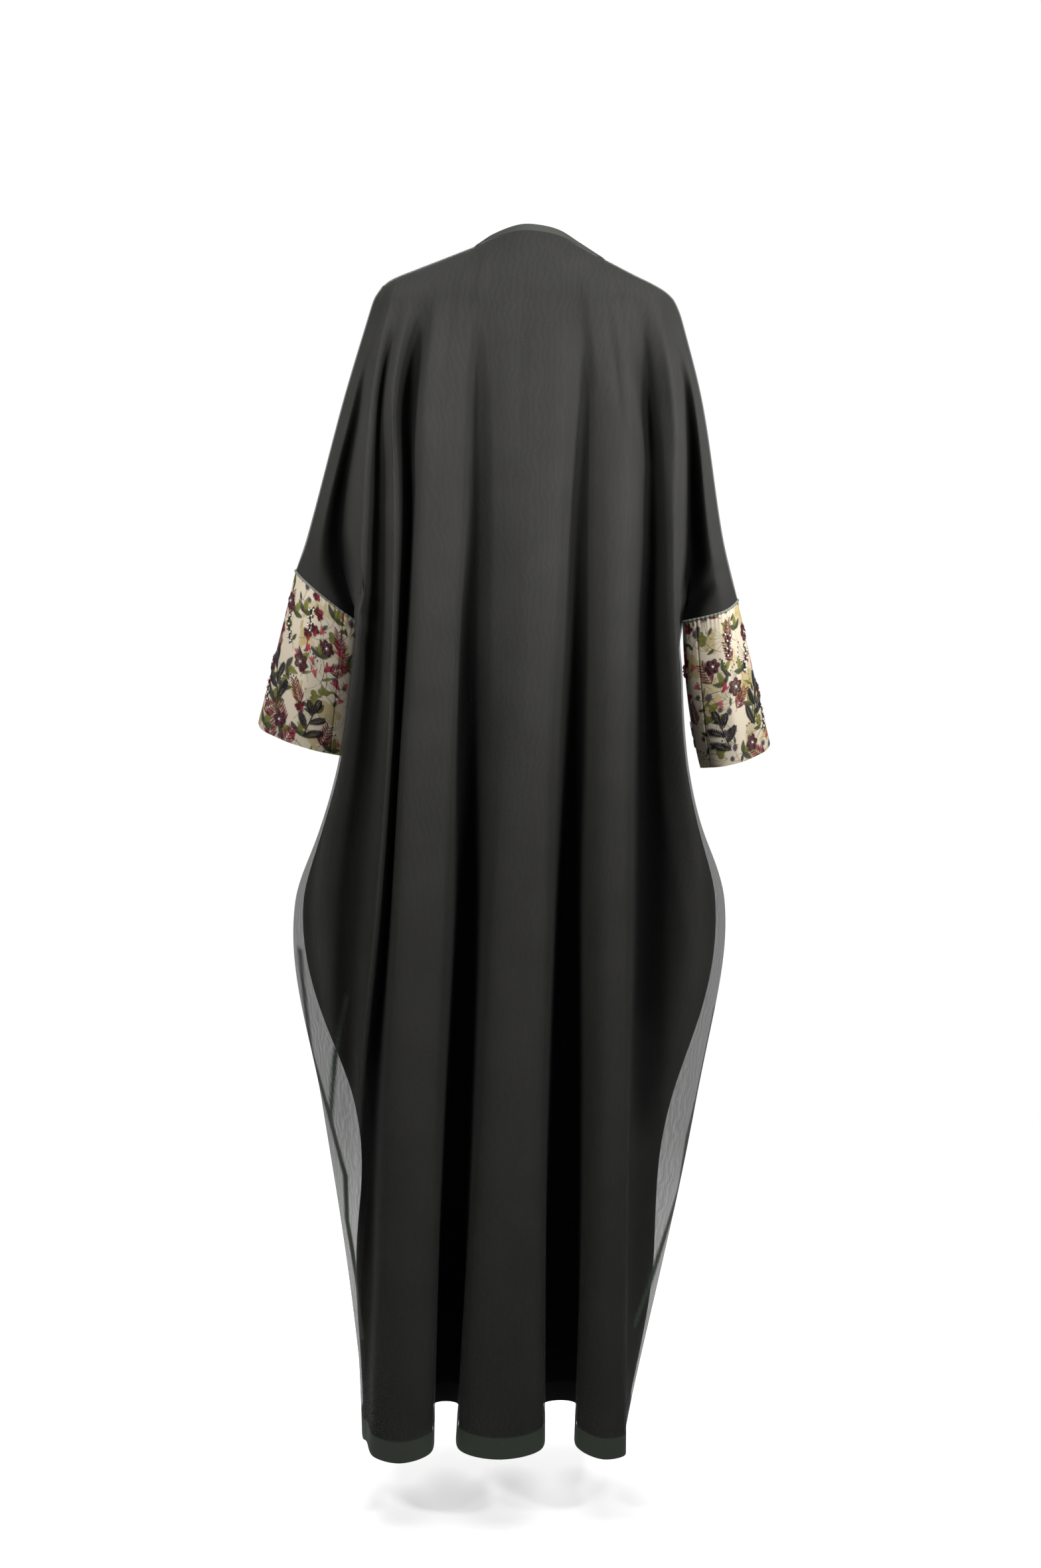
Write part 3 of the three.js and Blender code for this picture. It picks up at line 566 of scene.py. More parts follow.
def crepeMaterial():
    material, tree, shader = newMaterial("crepe")
    slanted = node(tree, "ShaderNodeMapping", {
        "Vector": uvOf(tree), "Rotation": (0, 0, 0.8), "Scale": (1, 0.35, 1)})
    grain = threads(tree, slanted.outputs["Vector"], crepe["yarnsPerMetre"], 2.0)
    # The crepe's colour gets painted shade in the folds
    colour = paintedFoldShade(tree, mixedColour(tree, grain, crepe["yarnDark"], crepe["yarn"]))
    surface(tree, shader, colour, grain, crepe)
    return material


# Printed cotton of the cuffs, painted in reactive ink on a fine plain weave: soft, matt and a little
# uneven. exposure: the light is set for the dark cloth, and this keeps the pale one from burning out.
printed = {
    "ground": "#cfc3ae", "exposure": 0.60, "threadsPerMetre": 900, "roughness": 0.85, "gloss": 0.15,
    "bump": 0.3, "relief": 0.0003,
}


def printedMaterial():
    material, tree, shader = newMaterial("printed_cotton")
    grain = threads(tree, uvOf(tree), printed["threadsPerMetre"])
    shade = node(tree, "ShaderNodeMapRange", {"Value": grain, "To Min": 0.86, "To Max": 1.12})
    colour = node(tree, "ShaderNodeVectorMath", {
        0: attribute(tree, "print", "Color"), 1: shade.outputs["Result"]}, operation="MULTIPLY")
    surface(tree, shader, colour.outputs["Vector"], grain, printed)
    return material


# Binding of the neck and piping of the cuffs: the overlay's own organza folded in several layers, so it
# is opaque. Machine stitches, 2.8 mm long, run where the attribute stitch is 1.
binding = {
    "cloth": "#3a3c38", "thread": "#191a18", "stitch": 0.0028, "roughness": 0.8, "gloss": 0.12,
    "bump": 0.3, "relief": 0.0003,
}


def bindingMaterial(name, cloth):
    material, tree, shader = newMaterial(name)
    uv = uvOf(tree)
    grain = threads(tree, uv, organza["threadsPerMetre"])
    along = node(tree, "ShaderNodeSeparateXYZ", {0: uv}).outputs["Y"]
    turns = node(tree, "ShaderNodeMath", {0: along, 1: 2 * math.pi / binding["stitch"]}, operation="MULTIPLY")
    wave = node(tree, "ShaderNodeMath", {0: turns.outputs["Value"]}, operation="SINE")
    dash = node(tree, "ShaderNodeMath", {0: wave.outputs["Value"], 1: -0.4}, operation="GREATER_THAN")
    share = node(tree, "ShaderNodeMath", {
        0: dash.outputs["Value"], 1: attribute(tree, "stitch")}, operation="MULTIPLY")
    colour = mixedColour(tree, grain, organza["threadDark"], cloth)
    colour = mixedColour(tree, share.outputs["Value"], colour, binding["thread"])
    surface(tree, shader, colour, grain, binding)
    return material


# Beads: pressed glass, fire-polished jet, pearls and silver-lined seeds, each lot a little uneven
def beadMaterial(name, look):
    material, tree, shader = newMaterial(f"{name}_beads")
    place = node(tree, "ShaderNodeTexCoord").outputs["Object"]
    lot = node(tree, "ShaderNodeTexNoise", {"Vector": place, "Scale": 300.0})
    base = np.array(hexColour(look["colour"]))
    dark, light = (tuple(base * [k, k, k, 1]) for k in (0.6, 1.3))
    tree.links.new(mixedColour(tree, lot.outputs["Fac"], dark, light), shader.inputs["Base Color"])
    shader.inputs["Roughness"].default_value = look["roughness"]
    return material


# Material of a piece, and what the frame is told of it: its body and the solids it stands for
def finishPiece(piece, replaced, material):
    piece.data.materials.append(material)
    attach(piece, "root")
    for nodeName in replaced:
        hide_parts(nodeName)


organzaCloth, crepeCloth, printedCloth = organzaMaterial(), crepeMaterial(), printedMaterial()
bindingCloth = bindingMaterial("folded_organza", binding["cloth"])

# Number at every vertex, for a material to read
def addAttribute(piece, name, values):
    piece.data.attributes.new(name, "FLOAT", "POINT").data.foreach_set("value", values.astype(np.float32))


# How deep a point lies in its fold: 0 on the ridges and for a few mm behind them (free), 1 a depth further
# back. It is measured from the lower of the two ridges within reach, in columns, and in part from the
# higher, which shades the valley's far side. The cloth takes less light there, so the materials paint shade
# on it.
foldShade = {"depth": 42, "reach": 26, "free": 6, "higher": 0.4, "higherSpan": 8}


def depthInFold(name, points):
    out = points[..., 1] * (1 if name == "back" else -1)
    out = np.where(np.isnan(out), -1e3, out)
    before, after = out.copy(), out.copy()
    for k in range(1, foldShade["reach"]):
        before[:, k:] = np.maximum(before[:, k:], out[:, :-k])
        after[:, :-k] = np.maximum(after[:, :-k], out[:, k:])
    low, high = np.minimum(before, after), np.maximum(before, after)
    shaded = low + foldShade["higher"] * (high - low) * ramp(low - out, 0, foldShade["higherSpan"])
    deep = (shaded - out - foldShade["free"]) / foldShade["depth"]
    return smooth(np.clip(deep, 0, 1), 1.5, 1)


# Small creases of each panel, in the cloth of both layers: both ends (x, z), width, and height, where a
# trough is below 0
creases = {
    "back": [
        ((136, -73), (187, -326), 9, -4), ((167, -96), (199, -357), 8, 3.5),
        ((150, -84), (190, -300), 6, -2.5),
        ((-93, -57), (-137, -278), 9, -4), ((-129, -81), (-157, -357), 8, 3.5),
        ((-110, -70), (-150, -330), 6, -2.5),
        ((-228, -380), (-168, -456), 7, 4), ((-232, -398), (-176, -470), 6, -3),
        ((252, -385), (206, -484), 8, 4), ((238, -360), (200, -470), 7, -4),
        ((215, -420), (196, -560), 8, -4),
        ((60, -20), (92, -190), 8, 2), ((-52, -25), (-70, -190), 8, 2), ((20, -60), (24, -260), 10, -1.5),
        ((205, -640), (232, -860), 9, 3), ((-150, -640), (-186, -880), 9, 3),
        ((118, -60), (150, -300), 6, 2.5), ((100, -50), (126, -260), 6, -2),
        ((184, -100), (212, -330), 5, 2.2),
        ((-76, -50), (-102, -260), 6, -2), ((-100, -60), (-126, -300), 6, 2.5),
        ((-148, -90), (-174, -330), 5, 2.2),
    ],
    "front_left": [
        ((138, -80), (180, -320), 9, -4), ((165, -96), (196, -350), 8, 3.5), ((250, -385), (206, -480), 8, 4),
        ((112, -110), (130, -380), 8, 3), ((70, -160), (60, -420), 9, -3), ((200, -640), (226, -860), 9, 3),
    ],
    "front_right": [
        ((-120, -85), (-140, -300), 9, -4), ((-136, -90), (-156, -350), 8, 3.5),
        ((-226, -382), (-170, -458), 7, 4),
        ((-98, -110), (-112, -380), 8, 3), ((-62, -160), (-54, -420), 9, -3),
        ((-150, -640), (-184, -880), 9, 3),
    ],
}


# French seams of the overlay, that show through it and over its sheer sides: x and z along each
seamPaths = {"back": [
    [(294, -868), (283, -1003), (258, -1083), (239, -1151), (238, -1209), (224, -1286), (217, -1344)],
    [(236, -926), (250, -1000), (258, -1083)],
    [(-221, -947), (-199, -1054), (-186, -1102), (-177, -1170), (-157, -1228), (-138, -1286), (-120, -1334)],
]}
seamWidth = 4.6


# Distance of every point, seen from the front, to the line between two places, and how far along it is
def fromLine(points, start, end):
    a, b = np.array(start, float), np.array(end, float)
    away = points[..., (0, 2)] - a
    t = np.clip(away @ (b - a) / ((b - a) @ (b - a)), 0, 1)
    return np.linalg.norm(away - t[..., None] * (b - a), axis=-1), t


# 1 on the seams, 0 away from them: the distance to the nearest piece of each path
def seamLines(name, points):
    near = np.full(points.shape[:2], 1e3)
    for path in seamPaths.get(name, []):
        for start, end in zip(path[:-1], path[1:]):
            near = np.fmin(near, fromLine(points, start, end)[0])
    return 1 - ramp(near, seamWidth * 0.4, seamWidth)


# The ends of the shoulder seams drawn in, so that they round over: place, pull and reach
softCorners = [((194, 0, -54), (-3.5, 0, -2.5), 15), ((-168, 0, -70), (3.5, 0, -2.5), 15)]


# Creases raised along the normals: a bell curve across each, fading to its ends
def creased(name, panel):
    points = panel["points"]
    _, normals = moved(panel, 0)
    height = np.zeros(points.shape[:2])
    for start, end, width, rise in creases[name]:
        gap, t = fromLine(points, start, end)
        height += rise * np.exp(-((gap / width) ** 2)) * np.sin(math.pi * t) ** 0.7
    points = points + normals * height[..., None]
    for corner, pull, spread in softCorners:
        away = np.linalg.norm(points - np.array(corner, float), axis=-1, keepdims=True)
        points = points + np.array(pull, float) * np.exp(-((away / spread) ** 2))
    panel["points"] = points


# Overlay and lining
overlayNodes = {
    "back": ["outer_back_left", "outer_back_middle", "outer_back_right"],
    "front_left": ["outer_front_left"], "front_right": ["outer_front_right"],
}
overlay, lining = layerGrids(False), layerGrids(True)
for layer in (overlay, lining):
    for name, panel in layer.items():
        creased(name, panel)
flatCut = {  # widest row with the sleeves, longest column and area, measured on the grids
    "overlay_back": {"flat": (1.23, 1.52), "area": 1.43},
    "overlay_front_left": {"flat": (0.455, 1.53), "area": 0.505},
    "overlay_front_right": {"flat": (0.41, 1.52), "area": 0.437},
    "lining_back": {"flat": (1.23, 1.50), "area": 1.37},
    "lining_front_left": {"flat": (0.455, 1.51), "area": 0.477},
    "lining_front_right": {"flat": (0.41, 1.50), "area": 0.416},
}
for name, cloth in flatCut.items():
    cloth.update(held="hung", rests_on=["neck_binding"])
for name, panel in overlay.items():
    points = panel["points"]
    piece = gridMesh(f"overlay_{name}", points, panel["facing"], clothUv(points))
    hemRow = seamLines(name, points)
    hemRow[allRows - grid["hem"]:] = 1
    there = ~np.isnan(points[..., 0])
    addAttribute(piece, "hem", hemRow[there])
    # Depth in the fold, which the material turns into painted shade
    addAttribute(piece, "fold", depthInFold(name, points)[there])
    finishPiece(piece, overlayNodes[name], organzaCloth)
for name, panel in lining.items():
    rows = np.arange(allRows)
    below = ramp(rows, sleeveRows - cut["liningRows"], sleeveRows + cut["liningRows"])[:, None, None]
    depth = cut["liningNear"] + (cut["liningGap"] - cut["liningNear"]) * below
    points, _ = moved(panel, -depth)
    piece = gridMesh(f"lining_{name}", points, panel["facing"], clothUv(points))
    # Depth in the fold, which the material turns into painted shade
    addAttribute(piece, "fold", depthInFold(name, points)[~np.isnan(points[..., 0])])
    finishPiece(piece, [f"inner_{name}"], crepeCloth)
print("overlay and lining")


# Neck band: a flat loop of cloth carried along the neck, from one front over the back to the other
def neckBand():
    chains = []
    for edge, rangeOf in ((frontEdgeLeft, (5, 1)), (backEdge, (1, 7)), (frontEdgeRight, (1, 5))):
        places = np.linspace(*rangeOf, 90)[:-1] if edge is not frontEdgeRight else np.linspace(*rangeOf, 90)
        chains.append((edgeAt(edge, places, rim=True), edgeAt(edge, places)))
    rim, low = (np.concatenate([c[i] for c in chains]) for i in (0, 1))
    low = low + (low - rim) * cut["bandLap"]
    along = np.gradient(smooth(low, 3.0, 0), axis=0)
    normal = unit(np.cross(low - rim, along))
    turn = np.linspace(0, 2 * math.pi, 20, endpoint=False)
    half = cut["bandThickness"] / 2
    across = 0.5 - 0.5 * np.cos(turn)  # 0 at the rim, 1 at the lower edge
    off = half * np.sign(np.sin(turn)) * np.abs(np.sin(turn)) ** 0.6
    line = np.exp(-(((across - 0.82) / 0.06) ** 2)) * (np.sin(turn) > 0)
    off = off - 0.5 * line
    flat = rim[:, None] + (low - rim)[:, None] * across[None, :, None]
    return flat + normal[:, None] * (off[None, :, None] - 0.2)


bandPoints = neckBand()
band = gridMesh("neck_binding", bandPoints, 1, clothUv(bandPoints), closedAcross=True)
finishPiece(band, ["neck_band"], bindingCloth)


# Shapes of the print: positive inside, for x along the motif from 0 to 1 and y across it
shapes = {
    "leaf": lambda x, y: (
        0.20 * np.sin(math.pi * np.clip(x, 0, 1) ** 0.8) - np.abs(y) - 4 * np.abs(x - np.clip(x, 0, 1))),
    "blade": lambda x, y: (
        0.09 * np.sin(math.pi * np.clip(x, 0, 1)) - np.abs(y - 0.1 * x) - 4 * np.abs(x - np.clip(x, 0, 1))),
    "heart": lambda x, y: np.maximum(
        0.27 - np.hypot(x - 0.3, np.abs(y) - 0.2), 0.42 * (1 - x) - np.abs(y) - 9 * np.maximum(0.25 - x, 0)),
    "bell": lambda x, y: np.minimum(
        0.10 + 0.44 * np.clip(x, 0, 1) ** 1.3 - np.abs(y), np.minimum(x, 0.88 + 0.1 * np.cos(y * 16) - x)),
    "flower": lambda x, y: 0.5 * (0.6 + 0.4 * np.abs(np.cos(2.5 * np.arctan2(y, x)))) - np.hypot(x, y),
    "tuft": lambda x, y: 0.5 * (0.55 + 0.45 * np.abs(np.cos(6 * np.arctan2(y, x)))) - np.hypot(x, y),
    "dot": lambda x, y: 0.5 - np.hypot(x, y),
    "stem": lambda x, y: 0.011 - np.abs(y - 0.5 * x * (1 - x)) - 4 * np.abs(x - np.clip(x, 0, 1)),
}
inks = {
    "mustard": "#a8934c", "sand": "#b3a374", "olive": "#74753a", "moss": "#4b5236", "slate": "#47483f",
    "crimson": "#a3364a", "rose": "#b8505c", "wine": "#641b2a", "mauve": "#5d5360", "line": "#3a3727",
    "berry": "#2e2622",
}
# Each motif: shape, place along and across, turn, length (all mm and radians), ink
motifs = {
    "bells": [
        ("stem", 0, 0, 0, 42, "line"), ("bell", 39, -1, 0.5, 15, "crimson"),
        ("stem", 12, 3, -0.9, 20, "line"),
        ("bell", 24, -12, -0.5, 12, "rose"), ("blade", 6, 2, 0.9, 20, "olive"),
    ],
    "heartLeaf": [
        ("stem", 0, 0, 0, 36, "line"), ("heart", 32, 0, 0.35, 17, "olive"), ("leaf", 14, 4, 1.1, 13, "moss"),
    ],
    "plume": [("stem", 0, 0, 0, 44, "wine")] + [
        ("blade", 6 + 5 * k, 3 + 0.3 * k, side * 0.75, 17 - 1.2 * k, "crimson" if k % 2 else "wine")
        for k in range(7) for side in (-1, 1)
    ],
    "cluster": [("stem", 0, 0, 0, 26, "line")] + [
        ("flower", 22 + 7 * math.cos(2.4 * k) * math.sqrt(k / 8), 7 * math.sin(2.4 * k) * math.sqrt(k / 8),
         k, 7, "wine" if k % 3 else "crimson") for k in range(9)
    ],
    "buds": [
        ("stem", 0, 0, 0, 34, "line"), ("tuft", 34, 0, 0.3, 12, "mauve"), ("stem", 12, 3, 0.8, 18, "line"),
        ("tuft", 24, 15, 0.8, 9, "mauve"), ("leaf", 8, 2, -0.8, 12, "slate"),
    ],
    "berries": [("stem", 0, 0, 0.25 * k, 24 - 2 * k, "line") for k in range(-3, 4)] + [
        ("dot", (24 - 2 * k) * math.cos(0.25 * k), (24 - 2 * k) * math.sin(0.25 * k), 0, 3, "berry")
        for k in range(-3, 4)
    ],
    "leaves": [
        ("leaf", 0, 0, 0, 24, "olive"), ("leaf", 0, 0, 1.0, 19, "moss"), ("leaf", 0, 0, -1.1, 20, "slate"),
        ("stem", -24, 0, 0, 24, "line"),
    ],
    "grass": [("stem", 0, 0, a, 26 + 4 * a, "olive") for a in (-0.7, -0.35, 0, 0.4, 0.8)],
}
wash = [("flower", 34, "mustard"), ("leaf", 46, "sand"), ("flower", 26, "sand"), ("bell", 30, "mustard")]
cuff = {
    "columns": 320, "rows": 262, "gap": 0.45, "cornerRise": 0.05, "cornerWidth": 0.24, "seamTurn": 1.6,
    "washes": 30, "cell": 20, "pipingRadius": 1.7,
}


cuffBulge = {"left": 0, "right": 6}  # towards the skirt, halfway down


# Cuff: a tube from the sleeve's ring to its own lower ring. The outer corner is rounded by ending sooner
# there, soft waves grow towards the opening and small puckers fade from the seam.
def cuffGrid(side):
    folds = panels["back"]["folds"] if side == "left" else panels["back"]["folds"][::-1]
    other = panels["front_left" if side == "left" else "front_right"]
    lines = [(f, backEdge) for f in folds[:3]] + [(other["folds"][1], other["edge"])]
    ring = np.array([foldLine(f, edge, 0)[sleeveRows - 1] for f, edge in lines])
    turn = np.linspace(0, 4, cuff["columns"], endpoint=False)
    upper, lower = spline(ring, turn, closed=True), spline(cuffEnds[side], turn, closed=True)
    axis = unit(lower.mean(0) - upper.mean(0))
    toCorner = np.minimum(turn, 4 - turn)
    s = np.linspace(0, 1, cuff["rows"])[:, None]
    at = s * (1 - cuff["cornerRise"] * np.exp(-((toCorner / cuff["cornerWidth"]) ** 2)))
    points = (upper + axis * cuff["gap"]) + (lower - upper - axis * cuff["gap"]) * at[..., None]
    out = points - points.mean(1, keepdims=True)
    out = unit(out - axis * (out @ axis)[..., None])
    a = turn * math.pi / 2
    waves = s**1.5 * (1.3 * np.sin(3 * a + 1.1) + 0.8 * np.sin(7 * a + 2.3 + 3 * s))
    puckers = 0.35 * np.exp(-s / 0.06) * np.sin(41 * a + 2 * np.sin(3 * a))
    seam = -0.7 * np.exp(-(((turn - cuff["seamTurn"]) / 0.012) ** 2))
    bulge = cuffBulge[side] * np.exp(-(((turn - 2) / 0.5) ** 2)) * np.sin(math.pi * s) ** 0.8
    return points + out * (waves + puckers + seam + bulge)[..., None], turn


# Print of a cuff: soft washes below, then the motifs strewn on a jittered net, each stroke a darker
# line round a fill that is lighter towards its tip
inkLine = {  # inset and midribWidth in mm, the others shares
    "cover": 0.85, "dark": 0.30, "inset": 0.4, "midrib": 0.45, "midribWidth": 0.5,
}
motifSize = 0.85  # of the sizes in the table above


def cuffPrint(points, seed):
    height = np.linalg.norm(np.diff(points, axis=0), axis=-1).sum(0).mean()
    girth = np.linalg.norm(np.roll(points, -1, axis=1) - points, axis=-1).sum(1).mean()
    u = np.arange(points.shape[1]) / points.shape[1] * girth
    v = np.linspace(0, 1, points.shape[0])[:, None] * height
    colours = np.ones(points.shape[:2] + (3,)) * hexColour(printed["ground"])[:3]
    draw = np.random.default_rng(seed)

    def stroke(shape, place, angle, length, ink, soft, strength):
        du, dv = (u - place[0] + girth / 2) % girth - girth / 2, v - place[1]
        reach = 1.3 * length  # a stroke is painted only where it can reach
        near = np.ix_(np.flatnonzero(np.abs(dv[:, 0]) < reach), np.flatnonzero(np.abs(du) < reach))
        du, dv = du[near[1][0]], dv[near[0][:, 0]]
        x = (du * math.cos(angle) + dv * math.sin(angle)) / length
        y = (dv * math.cos(angle) - du * math.sin(angle)) / length
        value = shapes[shape](x, y) * length
        fill = np.array(hexColour(inks[ink])[:3])
        if shape not in ("stem", "dot") and not soft > 1:
            line = ramp(value, -0.9, 0.1)[..., None] * inkLine["cover"]
            colours[near] += (fill * inkLine["dark"] - colours[near]) * line
            fill = fill * (0.75 + 0.6 * np.clip(x, 0, 1))[..., None]
            value = value - inkLine["inset"]
            rib = np.exp(-((y * length / inkLine["midribWidth"]) ** 2))
            fill = fill * (1 - inkLine["midrib"] * rib)[..., None]
        share = ramp(value, -soft, soft)[..., None] * strength
        colours[near] += (fill - colours[near]) * share

    for k in range(cuff["washes"]):
        shape, length, ink = wash[k % len(wash)]
        stroke(shape, draw.uniform(0, 1, 2) * (girth, height), draw.uniform(0, 6.3), length, ink, 1.2, 0.6)
    across, down = round(girth / cuff["cell"]), round(height / cuff["cell"])
    names = list(motifs)
    for k in draw.permutation(across * (down + 1)):
        jitter = draw.uniform(-0.4, 0.4, 2)
        place = np.array([
            (k % across + jitter[0]) / across * girth, (k // across + 0.5 + jitter[1]) / down * height])
        angle, name = -math.pi / 2 + draw.normal(0, 0.8), names[draw.integers(len(names))]
        for shape, along, aside, lean, length, ink in motifs[name]:
            offset = np.array([along * math.cos(angle) - aside * math.sin(angle),
                               along * math.sin(angle) + aside * math.cos(angle)])
            stroke(shape, place + offset * motifSize, angle + lean, length * motifSize, ink, 0.35, 1.0)
    return colours * printed["exposure"]


# Rows of beads: place along and across, height, direction, half length and half width, in mm. Each is a
# number or one value a bead.
def beadRows(*values):
    return np.column_stack(np.broadcast_arrays(*[np.atleast_1d(np.asarray(v, float)) for v in values]))


# A flower: six petals, each two ovals of beads one in the other with two beads inside, then a pearl and a
# ring of silver seeds
def flowerBeads(size):
    wine = []
    for petal in range(6):
        a = petal * math.pi / 3
        for ring, count in ((1.0, 13), (0.55, 8), (0.1, 2)):
            t = np.arange(count) / count * 2 * math.pi
            x, y = size * (0.31 + 0.19 * ring * np.cos(t)), size * 0.155 * ring * np.sin(t)
            wine.append(beadRows(
                x * math.cos(a) - y * math.sin(a), x * math.sin(a) + y * math.cos(a), 0.9 + 1.2 * (1 - ring),
                a + t, 0.95, 0.8))
    t = np.arange(6) * math.pi / 3 + 0.5
    return {"wine": np.concatenate(wine), "pearl": beadRows(0, 0, 1.6, 0, 1.5, 1.5),
            "silver": beadRows(2.6 * np.cos(t), 2.6 * np.sin(t), 1.2, t, 0.8, 0.6)}


# A leaf: its midrib, and slanted beads to each side as long as the leaf is wide there
def leafBeads(length, wide):
    along = np.arange(0.06, 0.97, 2.0 / length)
    made = [beadRows(along * length, 0, 1.0, 0, 1.1, 0.6)]
    half = wide * np.sin(math.pi * along ** 0.75) * 0.5 / 2 + 0.5
    for sign in (-1, 1):
        made.append(beadRows(
            along * length + half * 0.75, sign * (0.5 + half * 0.75), 0.8, sign * 0.75, half * 1.1, 0.7))
    return np.concatenate(made)


# Beads turned by an angle and then moved
def turned(beads, x, y, angle):
    c, s = math.cos(angle), math.sin(angle)
    made = beads.copy()
    made[:, 0] = x + beads[:, 0] * c - beads[:, 1] * s
    made[:, 1] = y + beads[:, 0] * s + beads[:, 1] * c
    made[:, 3] += angle
    return made


# A sprig: a straight stem and five leaves, each smaller than the one before
def sprigBeads(size):
    rows = [beadRows(np.arange(0, 26 * size, 1.7), 0, 0.8, 0, 0.9, 0.6)]
    for k, (x, lean) in enumerate([(0, 0.75), (7, -0.8), (13, 0.7), (20, -0.6), (25, 0)]):
        rows.append(turned(leafBeads(size * (17 - 1.2 * k), size * (7.5 - 0.5 * k)), x * size, 0, lean))
    return {"jet": np.concatenate(rows)}


# A waved line of jet, with pearls to either side in turn, each among four jet beads
def sprayBeads(size):
    x = np.arange(0, 40, 1.9)
    jet = [beadRows(x, 2.2 * np.sin(x / 7), 1.0, 0, 0.95, 0.85)]
    k = np.arange(7)
    px = 3 + 5.6 * k
    py = 2.2 * np.sin(px / 7) + 2.9 * np.where(k % 2, 1, -1)
    for a in (0.6, 2.2, 4.0, 5.4):
        jet.append(beadRows(px + 2.3 * math.cos(a), py + 2.3 * math.sin(a), 0.9, a, 0.9, 0.75))
    made = {"jet": np.concatenate(jet), "pearl": beadRows(px, py, 1.6, 0, 1.5, 1.5)}
    return {kind: rows * np.array([size, size, 1, 1, 1, 1]) for kind, rows in made.items()}


# Embroidery of a cuff: motif, place round it (0 outermost, 1 back, 2 inner, 3 front) and down it,
# direction, size
embroidery = [
    ("flower", 0.34, 0.17, 0, 21), ("flower", 0.86, 0.47, 0.3, 22), ("flower", 0.12, 0.60, 0.2, 19),
    ("flower", 0.62, 0.88, 0, 21), ("flower", 1.35, 0.30, 0.1, 19), ("flower", 3.50, 0.34, 0, 18),
    ("flower", 2.60, 0.62, 0.4, 19),
    ("flower", 3.18, 0.84, 0.1, 20), ("flower", 2.05, 0.30, 0, 17),
    ("sprig", 0.50, 0.76, -1.9, 1.8), ("sprig", 1.12, 0.93, -1.3, 1.5), ("sprig", 3.76, 0.90, -1.5, 1.3),
    ("sprig", 2.90, 0.52, -1.2, 1.4), ("sprig", 2.15, 0.90, -1.8, 1.2),
    ("spray", 0.40, 0.24, 1.25, 0.9), ("spray", 0.98, 0.10, 1.7, 0.8), ("spray", 3.40, 0.42, 1.3, 0.9),
    ("spray", 0.20, 0.68, 1.4, 0.7), ("spray", 2.30, 0.36, 1.8, 0.9),
]
beadKinds = {"flower": flowerBeads, "sprig": sprigBeads, "spray": sprayBeads}


# Ball of a few faces: rings of points between two poles, as triangles
def ball(rings, sides):
    lat = np.pi * np.arange(1, rings) / rings
    lon = 2 * np.pi * np.arange(sides) / sides
    ringPoints = np.stack(np.broadcast_arrays(
        np.cos(lat)[:, None], np.sin(lat)[:, None] * np.cos(lon), np.sin(lat)[:, None] * np.sin(lon)), -1)
    points = np.concatenate([[[1, 0, 0]], ringPoints.reshape(-1, 3), [[-1, 0, 0]]])
    index = 1 + np.arange((rings - 1) * sides).reshape(rings - 1, sides)
    beyond = np.roll(index, -1, axis=1)
    faces = [np.stack([0 * index[0], index[0], beyond[0]], -1), np.stack(
        [index[-1], 0 * index[-1] + len(points) - 1, beyond[-1]], -1)]
    for a, b, c, d in zip(index[:-1], beyond[:-1], beyond[1:], index[1:]):
        faces += [np.stack([a, d, b], -1), np.stack([b, d, c], -1)]
    return points, np.concatenate(faces)


# Balls on a cuff's cloth: the place in mm becomes steps of the grid, the surface and its normal are
# interpolated there, and every ball is stretched along its own direction in the cloth
def sewBeads(name, points, facing, beads, look):
    normals = normalsOf(np.concatenate([points[:, -2:], points, points[:, :2]], axis=1), facing)[:, 2:-2]
    rows, columns = points.shape[:2]
    place = []
    for (turnAt, downAt), own in beads:
        i, j = downAt * (rows - 1), turnAt / 4 * columns
        i0, j0 = int(i), int(j) % columns
        perColumn = np.linalg.norm(points[i0, (j0 + 1) % columns] - points[i0, j0])
        perRow = np.linalg.norm(points[min(i0 + 1, rows - 1), j0] - points[min(i0, rows - 2), j0])
        place.append(np.column_stack([i + own[:, 1] / perRow, j + own[:, 0] / perColumn, own[:, 2:]]))
    place = np.concatenate(place)
    place = place[(place[:, 0] > 2) & (place[:, 0] < rows - 3)]
    i, j = place[:, 0], place[:, 1] % columns
    i0, j0 = i.astype(int), j.astype(int) % columns
    j1 = (j0 + 1) % columns
    a, b = (i - i0)[:, None], (j - np.floor(j))[:, None]
    mixAt = lambda g: (g[i0, j0] * (1 - a) * (1 - b) + g[i0 + 1, j0] * a * (1 - b)
                       + g[i0, j1] * (1 - a) * b + g[i0 + 1, j1] * a * b)
    normal = unit(mixAt(normals))
    across = points[i0, j1] - points[i0, j0]
    across = unit(across - normal * (across * normal).sum(1, keepdims=True))
    down = np.cross(normal, across) * np.sign(
        (np.cross(normal, across) * (points[i0 + 1, j0] - points[i0, j0])).sum(1, keepdims=True))
    c, s = np.cos(place[:, 3:4]), np.sin(place[:, 3:4])
    long, wide = (across * c + down * s) * place[:, 4:5], (down * c - across * s) * place[:, 5:6]
    high = normal * place[:, 5:6]
    shape, faces = look["template"]
    at = mixAt(points) + normal * place[:, 2:3]
    vertices = (at[:, None] + shape[None, :, :1] * long[:, None] + shape[None, :, 1:2] * wide[:, None]
                + shape[None, :, 2:] * high[:, None])
    handed = np.sign((np.cross(long, wide) * high).sum(1))
    allFaces = faces[None] + (np.arange(len(place)) * len(shape))[:, None, None]
    allFaces = np.where(handed[:, None, None] < 0, allFaces[..., ::-1], allFaces)
    mesh = bpy.data.meshes.new(name)
    fillMesh(mesh, vertices.reshape(-1, 3) * mm, allFaces.reshape(-1, 3))
    piece = addObject(name, mesh)
    finishPiece(piece, [], look["material"])
    return piece


